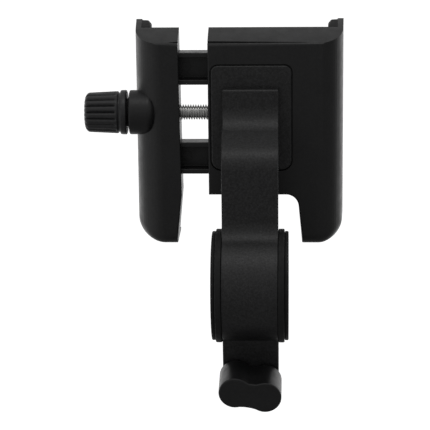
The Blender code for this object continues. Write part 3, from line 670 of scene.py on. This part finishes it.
def threaded(name, start, end, radius, pitch, place, depth, plain=()):
    """A threaded rod, chamfered at both ends. plain holds stretches with their own radius."""
    count = round((end - start) / pitch * THREAD_ROWS)
    heights = [start + (end - start) * i / count for i in range(count + 1)]

    def radius_at(height, angle):
        for low, high, plain_radius in plain:
            if low <= height <= high:
                return plain_radius
        edge = min(height - start, end - height)
        crest = radius - max(0.0, THREAD_CHAMFER - edge)
        return min(crest, radius - thread_depth(height / pitch - angle / (2 * math.pi), depth))

    return grid_turned(name, heights, radius_at, place, THREAD_SIDES)


def cross_recess(name, place, top):
    """The cross-shaped socket of a screw head, as two tapering blades."""
    foot = CROSS_REACH * 0.45
    wide = rectangle((-CROSS_REACH, -0.28), (CROSS_REACH, 0.28))
    sections = [(top - CROSS_DEPTH, rectangle((-foot, -0.2), (foot, 0.2))), (top + 0.2, wide)]
    blades = []
    for turn in (0, 90):
        stand = place @ Matrix.Rotation(math.radians(turn), 4, "Z")
        blades.append(loft(f"{name}_{turn}", sections, "Z", stand))
    return blades


def make_screw(node, body, profile, top):
    """A small screw on +Y: profile counts from the face that it sits on."""
    centre = [sum(span(node, axis)) / 2 for axis in "XZ"]
    seat = span(node, "Y")[1] - top
    place = pointing((centre[0], seat, centre[1]), (0, 1, 0))
    screw = turned(node + "_piece", soft_profile(profile, 0.3, 3), place, 40)
    cut(screw, *cross_recess(node + "_recess", place, top))
    dress(screw, node, body, STEEL)


def make_screws():
    pan = [(-6.4, 0), (-6.4, 1.3), (0, 1.3), (0, 2.7), (1.3, 2.7), (1.9, 1.8), (1.9, 0)]
    for i in range(4):
        make_screw(f"bracket_screw_{i + 1}", "base", pan, 1.9)
    flush = [(-8, 0), (-8, 1.2), (-1.3, 1.2), (-0.25, 2.35), (-0.15, 2.2), (-0.15, 0)]
    for i in range(4):
        make_screw(f"fixed_cover_screw_{i + 1}", "base", flush, -0.15)
    for i in range(2):
        make_screw(f"moving_cover_screw_{i + 1}", "moving_jaw", flush, -0.15)
    small = [(-7, 0), (-7, 1.2), (-0.6, 1.2), (-0.6, 2.4), (0.2, 2.4), (0.5, 1.9), (0.5, 0)]
    for name in ("upper_rail_screw", "lower_rail_screw"):
        make_screw(name, "moving_jaw", small, 0.5)


def make_drive():
    clip_x = sum(span("retaining_clip", "X")) / 2
    screw = threaded(
        "screw",
        *SCREW_X,
        SCREW_R + 0.08,
        SCREW_PITCH,
        SCREW_AXIS,
        SCREW_THREAD,
        plain=[(SCREW_X[0], clip_x - 0.7, SCREW_R), (clip_x - 0.7, clip_x + 0.7, 2.3)],
    )
    dress(screw, "lead_screw", "knob", STEEL, 50.0)
    (bore, rim), low, high = WASHER_R, KNOB_X[1] + 0.03, span("thrust_washer", "X")[1]
    washer = [(low, bore), (high, bore), (high, rim), (low, rim)]
    washer = turned("washer", washer, SCREW_AXIS, 64, ring=True)
    dress(washer, "thrust_washer", "moving_jaw", RUBBER)
    (bore, rim), (low, high) = CLIP_R, span("retaining_clip", "X")
    clip = [(low, bore), (high, bore), (high, rim), (low, rim)]
    clip = turned("clip", clip, SCREW_AXIS, 64, ring=True)
    mouth = (low - 1, SCREW_Y + 1.5, SCREW_Z - 1.4), (high + 1, SCREW_Y + 6, SCREW_Z + 1.4)
    cut(clip, block("clip_mouth", *mouth))
    dress(clip, "retaining_clip", "knob", STEEL)
    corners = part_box("jaw_nut")
    nut = bevel(block("drive_nut", *[[c / MM for c in corner] for corner in corners]), 0.4, 2)
    cut(nut, rod("drive_nut_bore", SCREW_AXIS, -30, 30, SCREW_R + GAP, 48))
    dress(nut, "jaw_nut", "base", BRASS)


def make_knob():
    """The side knob: tapered, fluted, with a groove and a plain collar."""
    left, right = KNOB_X
    collar = right - 2.7
    profile = [
        (left, 5.4),
        (left + 0.15, 6.1),
        (left + 0.5, 6.95),
        (left + 1.0, 7.5),
        (left + 1.7, 7.85),
        (collar - 1.1, 8.4),
        (collar - 0.8, 8.3),
        (collar - 0.55, 7.9),
        (collar - 0.3, 7.8),
        (collar, 7.9),
        (collar + 0.12, 8.5),
        (collar + 0.35, 8.75),
        (collar + 0.8, 8.85),
        (right - 0.5, 8.9),
        (right - 0.2, 8.78),
        (right, 8.4),
    ]

    def base(height):
        for (x0, r0), (x1, r1) in zip(profile, profile[1:]):
            if height <= x1:
                return r0 + (r1 - r0) * max(0.0, height - x0) / (x1 - x0)
        return profile[-1][1]

    flute_end = collar - 1.3

    def radius_at(height, angle):
        run = min(1.0, max(0.0, (flute_end - height) / 0.7))
        groove = max(0.0, 1 - abs(math.sin(FLUTES / 2 * angle)) / 0.9) ** 1.2
        return base(height) - FLUTE_DEPTH * groove * math.sqrt(run)

    ribs = [left + 1.7 + (flute_end - left - 1.7) * i / 14 for i in range(1, 14)]
    heights = sorted({x for x, _ in profile} | set(ribs) | {flute_end - 0.15, flute_end - 0.45})
    knob = grid_turned("knob", heights, radius_at, SCREW_AXIS, 216)
    face = [(left - 1, 0), (left - 1, 4.1), (left + 0.25, 4.1)]
    face += [(left + 0.45, 3.8), (left + 0.45, 0)]
    cut(
        knob,
        rod("knob_bore", SCREW_AXIS, left + 3, right + 5, SCREW_R + GAP, 48),
        turned("knob_face", face, SCREW_AXIS, 72),
    )
    # The knob wears the plastic painted lighter, which stands in for the light on its front.
    dress(knob, "clamp_knob", "knob", PAINTED_LIGHT_PLASTIC, 45.0)


def head_outline(inset=0.0):
    """The thumb head seen along its axis: two lobes joined by a waist."""
    turn = Matrix.Rotation(math.radians(HEAD_TURN), 2)
    right = arc((HEAD_LOBE_X, 0), HEAD_LOBE_R - inset, -114, 114, 30)
    high, low = (waist - inset for waist in HEAD_WAIST)
    points = right + [(1.7, low + 0.06), (0.8, low), (-0.8, low), (-1.7, low + 0.06)]
    points += [(-x, -z) for x, z in right]
    points += [(-1.6, -high - 0.06), (-0.8, -high), (0.8, -high), (1.6, -high - 0.06)]
    return [tuple(turn @ Vector(p)) for p in points]


def make_thumb_screw():
    edge = []
    for i in range(7):
        a = math.radians(90 * i / 6)
        outline = head_outline(HEAD_EDGE * (1 - math.cos(a)))
        edge.append((HEAD_EDGE * (1 - math.sin(a)), outline))
    sections = [(HEAD_FRONT + drop, outline) for drop, outline in reversed(edge)]
    sections += [(HEAD_BACK - drop, outline) for drop, outline in edge]
    head = loft("head", sections, "Z", BOLT_AXIS)
    cut(head, rod("head_bore", BOLT_AXIS, -22.0, 0, BOLT_HOLE_R, 48))
    dress(head, "thumb_head", "thumb", PLASTIC, 45.0)
    plain = [(2.4, 7.5, 2.1), (BOLT_X[0], -9.5, BOLT_R)]
    bolt = threaded("bolt", *BOLT_X, BOLT_R, BOLT_PITCH, BOLT_AXIS, BOLT_THREAD, plain)
    dress(bolt, "thumb_bolt", "thumb", STEEL, 50.0)
    low, high, bore, rim = -10.6, -9.8, BOLT_HOLE_R, 4.2
    washer = soft_profile([(low, bore), (high, bore), (high, rim), (low, rim), (low, bore)], 0.15)
    ring = turned("head_washer", washer[1:-1], BOLT_AXIS, 64, ring=True)
    dress(ring, "thumb_washer", "thumb_carrier", STEEL)


# ---------------------------------------------------------------- jaws


def end_height(depth):
    """Height of the sloping, slightly domed top end at a depth behind the back face."""
    return END_Z + END_SLOPE * depth - END_CURVE * depth * depth


def top_cutter(name):
    depths = [END_ROUND * i / 8 for i in range(8)]
    depths += [END_ROUND + (WALL_DEPTH * 1.1 - END_ROUND) * i / 20 for i in range(21)]
    outline = [(BACK_Y + d, end_height(d) - max(0.0, 1 - d / END_ROUND) ** 2) for d in depths]
    outline += [(BACK_Y + WALL_DEPTH * 1.1, CLEAR_Z), (BACK_Y - 12, CLEAR_Z)]
    outline += [(BACK_Y - 12, END_Z - 3)]
    return prism(name, outline, "X", -70, 60)


def quarter(depth, radius):
    """How far a quarter-round edge of this radius stands in at a depth."""
    if depth >= radius:
        return 0.0
    return radius * (1 - math.sqrt(1 - (1 - depth / radius) ** 2))


def round_depths(radius, steps):
    """Depths that step evenly round a quarter-round edge."""
    return {round(radius * (1 - math.cos(math.pi / 2 * i / steps)), 4) for i in range(steps + 1)}


def side_inset(depth):
    """How far the side wall stands in from its nominal place at a depth."""
    lean = max(0.0, depth - FLARE_START) / (WALL_DEPTH - FLARE_START)
    return quarter(depth, SIDE_ROUND) - FLARE * lean


def jaw_sections(outline_at):
    """The rounded jaw as a loft: one outline at each depth, edges rounding over at the back."""
    wanted = sorted(
        round_depths(EDGE_ROUND, 3) | round_depths(BOTTOM_ROUND, 8) | round_depths(SIDE_ROUND, 14)
    )
    depths = [0.0]
    for depth in wanted:
        if depth - depths[-1] > 0.05:
            depths.append(depth)
    return [
        (
            BACK_Y + d,
            outline_at(side_inset(d), quarter(d, BOTTOM_ROUND), quarter(d, EDGE_ROUND)),
        )
        for d in depths + [WALL_DEPTH]
    ]


def fixed_outline(side, bottom, edge):
    left, right = FIXED_X[0], FIXED_X[1] - side
    low = BOTTOM_Z + bottom
    return rounded(
        [
            (left + edge, JAW_TOP),
            (right, JAW_TOP),
            (right, low, max(FIXED_CORNER_R - 0.7 * side, 2.0)),
            (LEG_INNER_X + LEG_DRAFT + edge, low, 0.5),
            (LEG_INNER_X + edge, MIDDLE_BOTTOM_Z + edge, CUTOUT_R),
            (left + edge, MIDDLE_BOTTOM_Z + edge),
        ]
    )


def moving_outline(side, bottom, edge):
    left, right = MOVING_X[0] + side, MOVING_X[1]
    low = BOTTOM_Z + bottom
    return rounded(
        [
            (right - edge - JAW_LEAN, JAW_TOP),
            (left, JAW_TOP),
            (left, low, max(MOVING_CORNER_R - 0.55 * side, 2.0)),
            (right - LEG_DRAFT - edge, low, 0.4),
            (right - edge, MIDDLE_BOTTOM_Z, 3.0),
        ]
    )


def pocket_outline(inset, x_range, mirror=1):
    """The room inside a jaw's side and bottom wall, open at the top and towards the other jaw."""
    outer = x_range[1] if mirror > 0 else x_range[0]
    inner = x_range[0] if mirror > 0 else x_range[1]
    low = BOTTOM_Z + inset
    return rounded(
        [
            (inner - 12 * mirror, CLEAR_Z),
            (outer - inset * mirror, CLEAR_Z),
            (outer - inset * mirror, low, max(FIXED_CORNER_R - inset, 1.5)),
            (inner - 12 * mirror, low),
        ]
    )


def fixed_cover_outline(grow=0.0):
    right, low = FIXED_X[1] - WALL - RIM - 0.6 + grow, BOTTOM_Z + WALL + RIM + 0.8 - grow
    left, middle = FIXED_X[0] + RIM + GAP - grow, MIDDLE_BOTTOM_Z + RIM + 0.7 - grow
    return rounded(
        [
            (left, END_Z + 1.4 + grow),
            (right, END_Z + 1.4 + grow),
            (right, low, 6.5),
            (LEG_INNER_X + LEG_DRAFT + RIM - grow, low, 0.8),
            (LEG_INNER_X + RIM - grow, middle, CUTOUT_R),
            (left, middle),
        ]
    )


def moving_cover_outline(grow=0.0):
    left, low = MOVING_X[0] + WALL + RIM + 0.6 - grow, BOTTOM_Z + WALL + RIM + 0.8 - grow
    right = MOVING_X[1] - RIM - 0.6 + grow
    return rounded(
        [
            (right, END_Z + 1.4 + grow),
            (left, END_Z + 1.4 + grow),
            (left, low, 5.5),
            (right - LEG_DRAFT, low, 0.8),
            (right, MIDDLE_BOTTOM_Z, 3.0),
        ]
    )


def seam_groove(name, start, end):
    """The groove across the back just under the sloping end, fading out towards the round side."""
    outline = [(start, END_Z + 0.05), (end, END_Z + 0.3), (end, END_Z + 0.4), (start, END_Z + 0.8)]
    return prism(name, outline, "Y", BACK_Y - 2, BACK_Y + SEAM_DEPTH)


def screw_seats(name, node, count):
    """Holes for a cover's screws: (holes for the cover, holes for the shell behind it)."""
    seats, holes = [], []
    for i in range(count):
        screw = f"{node}_{i + 1}"
        x, z = (sum(span(screw, axis)) / 2 for axis in "XZ")
        place = pointing((x, COVER_Y[1], z), (0, 1, 0))
        profile = [(-3, 0), (-3, 1.55), (-1.3, 1.55), (0.1, 2.95), (0.1, 0)]
        seats.append(turned(f"{name}_seat_{i}", profile, place, 40))
        holes.append(rod(f"{name}_hole_{i}", place, -8.3, 0, 1.5))
    return seats, holes


def make_fixed_jaw():
    shell = loft("fixed_shell", jaw_sections(fixed_outline))
    cover_back = COVER_Y[0]
    cut(
        shell,
        top_cutter("top"),
        prism("pocket", pocket_outline(WALL, FIXED_X), "Y", COVER_Y[1], 60),
        prism("cover_seat", fixed_cover_outline(GAP), "Y", cover_back - GAP, 60),
        prism("recess", plate_outline(PLATE_GAP), "Y", 0, PLATE_Y[1] + GAP),
        seam_groove("seam", FIXED_X[0] - 1, SEAM_END_X),
    )
    half = RAIL_HEIGHT / 2 + GAP
    ways = []
    for i, z in enumerate(RAIL_HEIGHTS):
        low, high = (-30, RAIL_Y[0] - GAP, z - half), (30, RAIL_Y[1] + GAP, z + half)
        ways.append(block(f"way_{i}", low, high))
        low, high = (FIXED_X[0] + 2, RAIL_Y[1], z - half + 1), (28, cover_back, z + half - 1)
        ways.append(block(f"way_back_{i}", low, high))
    for i, (x, z) in enumerate(BRACKET_SCREWS):
        place = pointing((x, 23.6, z), (0, 1, 0))
        ways.append(rod(f"jaw_hole_{i}", place, -4, 1, 1.6))
        ways.append(rod(f"head_room_{i}", place, 0, 9, 3.1))
    nut_low, nut_high = (Vector(corner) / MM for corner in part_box("jaw_nut"))
    seats, holes = screw_seats("fixed", "fixed_cover_screw", 4)
    cut(
        shell,
        *ways,
        rod("screw_way", SCREW_AXIS, -30, 30, SCREW_R + 0.4, 48),
        block(
            "nut_way",
            nut_low - Vector((GAP, GAP, GAP)),
            (nut_high.x + GAP, cover_back, nut_high.z + GAP),
        ),
        *holes,
    )
    dress(shell, "fixed_jaw_shell", "base", PLASTIC, 30.0)
    cover = bevel(prism("fixed_cover", fixed_cover_outline(), "Y", *COVER_Y), 0.3, 2)
    cut(cover, *seats)
    dress(cover, "fixed_jaw_cover", "base", PLASTIC)


def make_moving_jaw():
    shell = loft("moving_shell", jaw_sections(moving_outline))
    cover_back = COVER_Y[0]
    profile = [
        (BOSS_X[0], 0),
        (BOSS_X[0], BOSS_R - 0.5),
        (BOSS_X[0] + 0.15, BOSS_R - 0.15),
        (BOSS_X[0] + 0.5, BOSS_R),
        (BOSS_X[1] - 2.2, BOSS_R),
        (BOSS_X[1], BOSS_R - 3.2),
        (BOSS_X[1], 0),
    ]
    join(shell, turned("boss", soft_profile(profile, 2.2, 7), SCREW_AXIS, 96))
    cut(
        shell,
        top_cutter("top"),
        prism("pocket", pocket_outline(WALL, MOVING_X, -1), "Y", COVER_Y[1], 60),
        prism("cover_seat", moving_cover_outline(GAP), "Y", cover_back - GAP, 60),
        seam_groove("seam", MOVING_X[1] + 1, MOVING_X[1] - 4.5),
        block("clip_room", (-41.4, SCREW_Y - 5, SCREW_Z - 5), (-38.6, cover_back, SCREW_Z + 5)),
    )
    half = RAIL_HEIGHT / 2 + GAP
    inner = RAIL_HEIGHT / 2 - RAIL_WALL - GAP
    seats, holes = screw_seats("moving", "moving_cover_screw", 2)
    rooms, cores = [], []
    for i, z in enumerate(RAIL_HEIGHTS):
        low, high = (RAIL_X[0] - GAP, RAIL_Y[0] - GAP, z - half), (0, cover_back, z + half)
        rooms.append(block(f"seat_{i}", low, high))
        screw_x = sum(span(("upper", "lower")[i] + "_rail_screw", "X")) / 2
        low = (screw_x - 3.5, BACK_Y + 1.5, z - inner)
        high = (screw_x + 3.5, RAIL_Y[1] - 2.3, z + inner)
        cores.append(block(f"core_{i}", low, high))
        place = pointing((screw_x, RAIL_Y[1], z), (0, 1, 0))
        holes.append(rod(f"rail_hole_{i}", place, -7.3, 0, 1.5))
    cut(shell, *rooms)
    join(shell, *cores)
    cut(shell, *holes, rod("bearing", SCREW_AXIS, -60, 0, SCREW_R + GAP, 48))
    dress(shell, "moving_jaw_shell", "moving_jaw", PLASTIC, 30.0)
    cover = bevel(prism("moving_cover", moving_cover_outline(), "Y", *COVER_Y), 0.3, 2)
    cut(cover, *seats)
    dress(cover, "moving_jaw_cover", "moving_jaw", PLASTIC)


def make_rails():
    """Two channel-section rails, open to the front, with round ejector marks in the web."""
    for name, z in zip(("upper_rail", "lower_rail"), RAIL_HEIGHTS):
        half, inner = RAIL_HEIGHT / 2, RAIL_HEIGHT / 2 - RAIL_WALL
        web = RAIL_Y[1] - RAIL_WALL
        outline = [
            (RAIL_Y[0], z - half),
            (RAIL_Y[1], z - half),
            (RAIL_Y[1], z + half),
            (RAIL_Y[0], z + half),
            (RAIL_Y[0], z + inner),
            (web, z + inner),
            (web, z - inner),
            (RAIL_Y[0], z - inner),
        ]
        rail = bevel(prism(name + "_piece", outline, "X", *RAIL_X), 0.35, 3)
        marks = []
        inside, outside = MARK_R
        for i, x in enumerate(MARKS_X):
            ring = [(web - 1, inside), (web + 0.25, inside)]
            ring += [(web + 0.25, outside), (web - 1, outside)]
            place = pointing((x, 0, z), (0, 1, 0))
            marks.append(turned(f"mark_{i}", ring, place, 48, ring=True))
        screw_x = sum(span(name + "_screw", "X")) / 2
        place = pointing((screw_x, RAIL_Y[1], z), (0, 1, 0))
        cut(
            rail,
            *marks,
            rod("rail_hole", place, -4, 1, 1.5),
            rod("rail_head_room", place, -0.9, 1, 2.8),
        )
        dress(rail, name, "moving_jaw", PLASTIC)


# ---------------------------------------------------------------- rubber pads


def pad_slope(x_range, mirror):
    """What an edge pad loses at its top, which rounds down at the inner edge."""
    wall = x_range[1] if mirror > 0 else x_range[0]
    reaches = PAD_FACE - 1.3, PAD_FACE, PAD_FACE + 1
    shoulder, face, far = (wall - reach * mirror for reach in reaches)
    tip = end_height(WALL_DEPTH) - 0.2
    outline = [(wall, tip), (wall, CLEAR_Z), (far, CLEAR_Z), (far, tip - 3.6)]
    outline += [(face, tip - 1.7), (shoulder, tip - 0.2)]
    return prism("pad_slope", outline, "Y", BACK_Y, BACK_Y + WALL_DEPTH + 5)


def make_edge_pad(name, node, body, x_range, mirror):
    """Rubber strip that lines the side wall and turns the corner onto the bottom wall."""
    outer_inset = WALL - 0.4
    low_y, high_y = COVER_Y[1] + GAP, BACK_Y + WALL_DEPTH - 0.6
    pad = prism(name, pocket_outline(outer_inset, x_range, mirror), "Y", low_y, high_y)
    end = x_range[0] if mirror > 0 else x_range[1]
    leg = LEG_INNER_X + LEG_DRAFT + 0.6 if mirror > 0 else x_range[1] - LEG_DRAFT - 0.8
    low, high = sorted((end - 40 * mirror, leg))
    cut(
        pad,
        prism("hollow", pocket_outline(PAD_FACE, x_range, mirror), "Y", low_y - 5, high_y + 5),
        top_cutter("pad_top"),
        pad_slope(x_range, mirror),
        block("pad_end", (low, low_y - 6, -10), (high, high_y + 6, 150)),
    )
    bevel(pad, 0.35, 2, clamp=False)
    face = (x_range[1] if mirror > 0 else x_range[0]) - PAD_FACE * mirror
    grooves = []
    for i in range(13):
        z = 30 + 5.0 * i
        near, far = sorted((face - 2 * mirror, face + 0.45 * mirror))
        grooves.append(block(f"pad_groove_{i}", (near, low_y - 2, z), (far, high_y + 2, z + 1.3)))
    cut(pad, *grooves)
    dress(pad, node, body, RUBBER, 35.0)


def make_back_pad(name, node, body):
    """Flat rubber pad with raised ribs where the phone rests."""
    (left, right), (low, high), (back, front) = (span(node, axis) for axis in "XZY")
    pad = bevel(prism(name, rectangle((left, low), (right, high), 3.0), "Y", back, front), 0.3, 2)
    margin = (right - left) * 0.12
    grooves = []
    for i in range(int((high - low - 8) // 6)):
        z = low + 6 + 6 * i
        outline = rectangle((left + margin, z), (right - margin, z + 1.0), 0.45, 4)
        grooves.append(prism(f"{name}_groove_{i}", outline, "Y", front - 0.4, front + 3))
    cut(pad, *grooves)
    dress(pad, node, body, RUBBER, 35.0)


def make_pads():
    make_edge_pad("fixed_edge_pad", "fixed_jaw_edge_pad", "base", FIXED_X, 1)
    make_edge_pad("moving_edge_pad", "moving_jaw_edge_pad", "moving_jaw", MOVING_X, -1)
    make_back_pad("fixed_back_pad", "fixed_jaw_back_pad", "base")
    make_back_pad("moving_back_pad", "moving_jaw_back_pad", "moving_jaw")


make_arm()
make_gate()
make_pin()
make_bush(
    "outer_sleeve", "outer_bush", OUTER_BUSH_R, OUTER_FLANGE_R, OUTER_FLANGE_WIDTH, OUTER_FLANGE_X
)
make_bush(
    "inner_sleeve", "inner_bush", INNER_BUSH_R, INNER_FLANGE_R, INNER_FLANGE_WIDTH, INNER_FLANGE_X
)
make_thumb_screw()
make_fixed_jaw()
make_moving_jaw()
make_rails()
make_pads()
make_drive()
make_knob()
make_screws()


# ---------------------------------------------------------------- stage, light and camera

# How bright the studio is against one component of the direction looked in: the component's start
# and end, then the brightness at each. LEVEL and ZENITH fade what BEHIND and LEFT give.
LIGHT_BEHIND = (0.1, 0.8, 0.0, 1.1)
LIGHT_LEFT = (-0.15, -0.85, 0.0, 0.35)
LIGHT_LEVEL = (-0.95, -0.4, 0.25, 1.0)
LIGHT_ZENITH = (0.0, 0.55, 1.0, 0.05)
LIGHT_ABOVE = (-0.3, 1.0, 0.17, 0.55)


def make_floor():
    mesh = bpy.data.meshes.new("floor")
    half, low = 3.0, -0.14
    corners = [(-half, -half, low), (half, -half, low), (half, half, low), (-half, half, low)]
    mesh.from_pydata(corners, [], [(0, 1, 2, 3)])
    floor = bpy.data.objects.new("floor", mesh)
    bpy.context.scene.collection.objects.link(floor)
    look = Look("floor", 0.9, specular=0.1)
    look.colour((0.93, 0.93, 0.93), (0.95, 0.95, 0.95), look.noise(400.0))
    look.shader.inputs["Emission Color"].default_value = (1, 1, 1, 1)
    look.shader.inputs["Emission Strength"].default_value = 0.6
    mesh.materials.append(look.material)
    floor.visible_diffuse = floor.visible_glossy = False


def make_world():
    """A studio that is brightest behind and to the left, near the object's level, and dim in front.

    The camera itself sees it as plain white.
    """
    world = bpy.data.worlds.new("studio")
    bpy.context.scene.world = world
    world.use_nodes = True
    tree = world.node_tree

    def add(kind, *values, operation=None):
        node = tree.nodes.new(kind)
        if operation:
            node.operation = operation
        for socket, value in zip(node.inputs, values):
            if isinstance(value, bpy.types.NodeSocket):
                tree.links.new(value, socket)
            else:
                socket.default_value = value
        return node.outputs[0]

    def ramp(value, start, end, low, high):
        return add("ShaderNodeMapRange", value, start, end, low, high)

    toward = tree.nodes.new("ShaderNodeTexCoord").outputs["Generated"]
    split = tree.nodes.new("ShaderNodeSeparateXYZ")
    tree.links.new(toward, split.inputs[0])
    x, y, z = split.outputs
    far = add("ShaderNodeMath", ramp(y, *LIGHT_BEHIND), ramp(x, *LIGHT_LEFT), operation="ADD")
    for band in (LIGHT_LEVEL, LIGHT_ZENITH):
        far = add("ShaderNodeMath", far, ramp(z, *band), operation="MULTIPLY")
    light = add("ShaderNodeMath", far, ramp(z, *LIGHT_ABOVE), operation="ADD")
    seen = tree.nodes.new("ShaderNodeLightPath").outputs["Is Camera Ray"]
    strength = add("ShaderNodeMath", light, seen, operation="MAXIMUM")
    shade = tree.nodes["Background"]
    shade.inputs["Color"].default_value = (1, 1, 1, 1)
    tree.links.new(strength, shade.inputs["Strength"])


def area_light(name, place, aim, size, power):
    light = bpy.data.lights.new(name, "AREA")
    light.shape = "RECTANGLE"
    light.size, light.size_y = size
    light.energy = power
    lamp = bpy.data.objects.new(name, light)
    lamp.location = place
    lamp.rotation_euler = (Vector(aim) - Vector(place)).to_track_quat("-Z", "Y").to_euler()
    bpy.context.scene.collection.objects.link(lamp)


def make_camera():
    """Stands 760 mm off, a little above the cradle, with the handlebar's axis level."""
    elevation, yaw, distance = math.radians(14.0), math.radians(2.5), 0.76
    target = Vector((-0.01453, 0.020, 0.02351))
    back = Vector(
        (
            math.sin(yaw) * math.cos(elevation),
            -math.cos(yaw) * math.cos(elevation),
            math.sin(elevation),
        )
    )
    right = (Vector((1, 0, 0)) - back * back.x).normalized()
    up = back.cross(right)
    camera = bpy.data.objects.new("camera", bpy.data.cameras.new("camera"))
    camera.data.lens = 159.07
    camera.data.sensor_width = 36.0
    turn = Matrix((right, up, back)).transposed().to_4x4()
    camera.matrix_world = Matrix.Translation(target + back * distance) @ turn
    bpy.context.scene.collection.objects.link(camera)
    bpy.context.scene.camera = camera


make_floor()
make_world()
area_light("overhead", (0.05, -0.25, 0.75), (0.0, 0.0, 0.03), (0.3, 0.15), 0.4)
make_camera()
bpy.context.scene.view_settings.view_transform = "Standard"
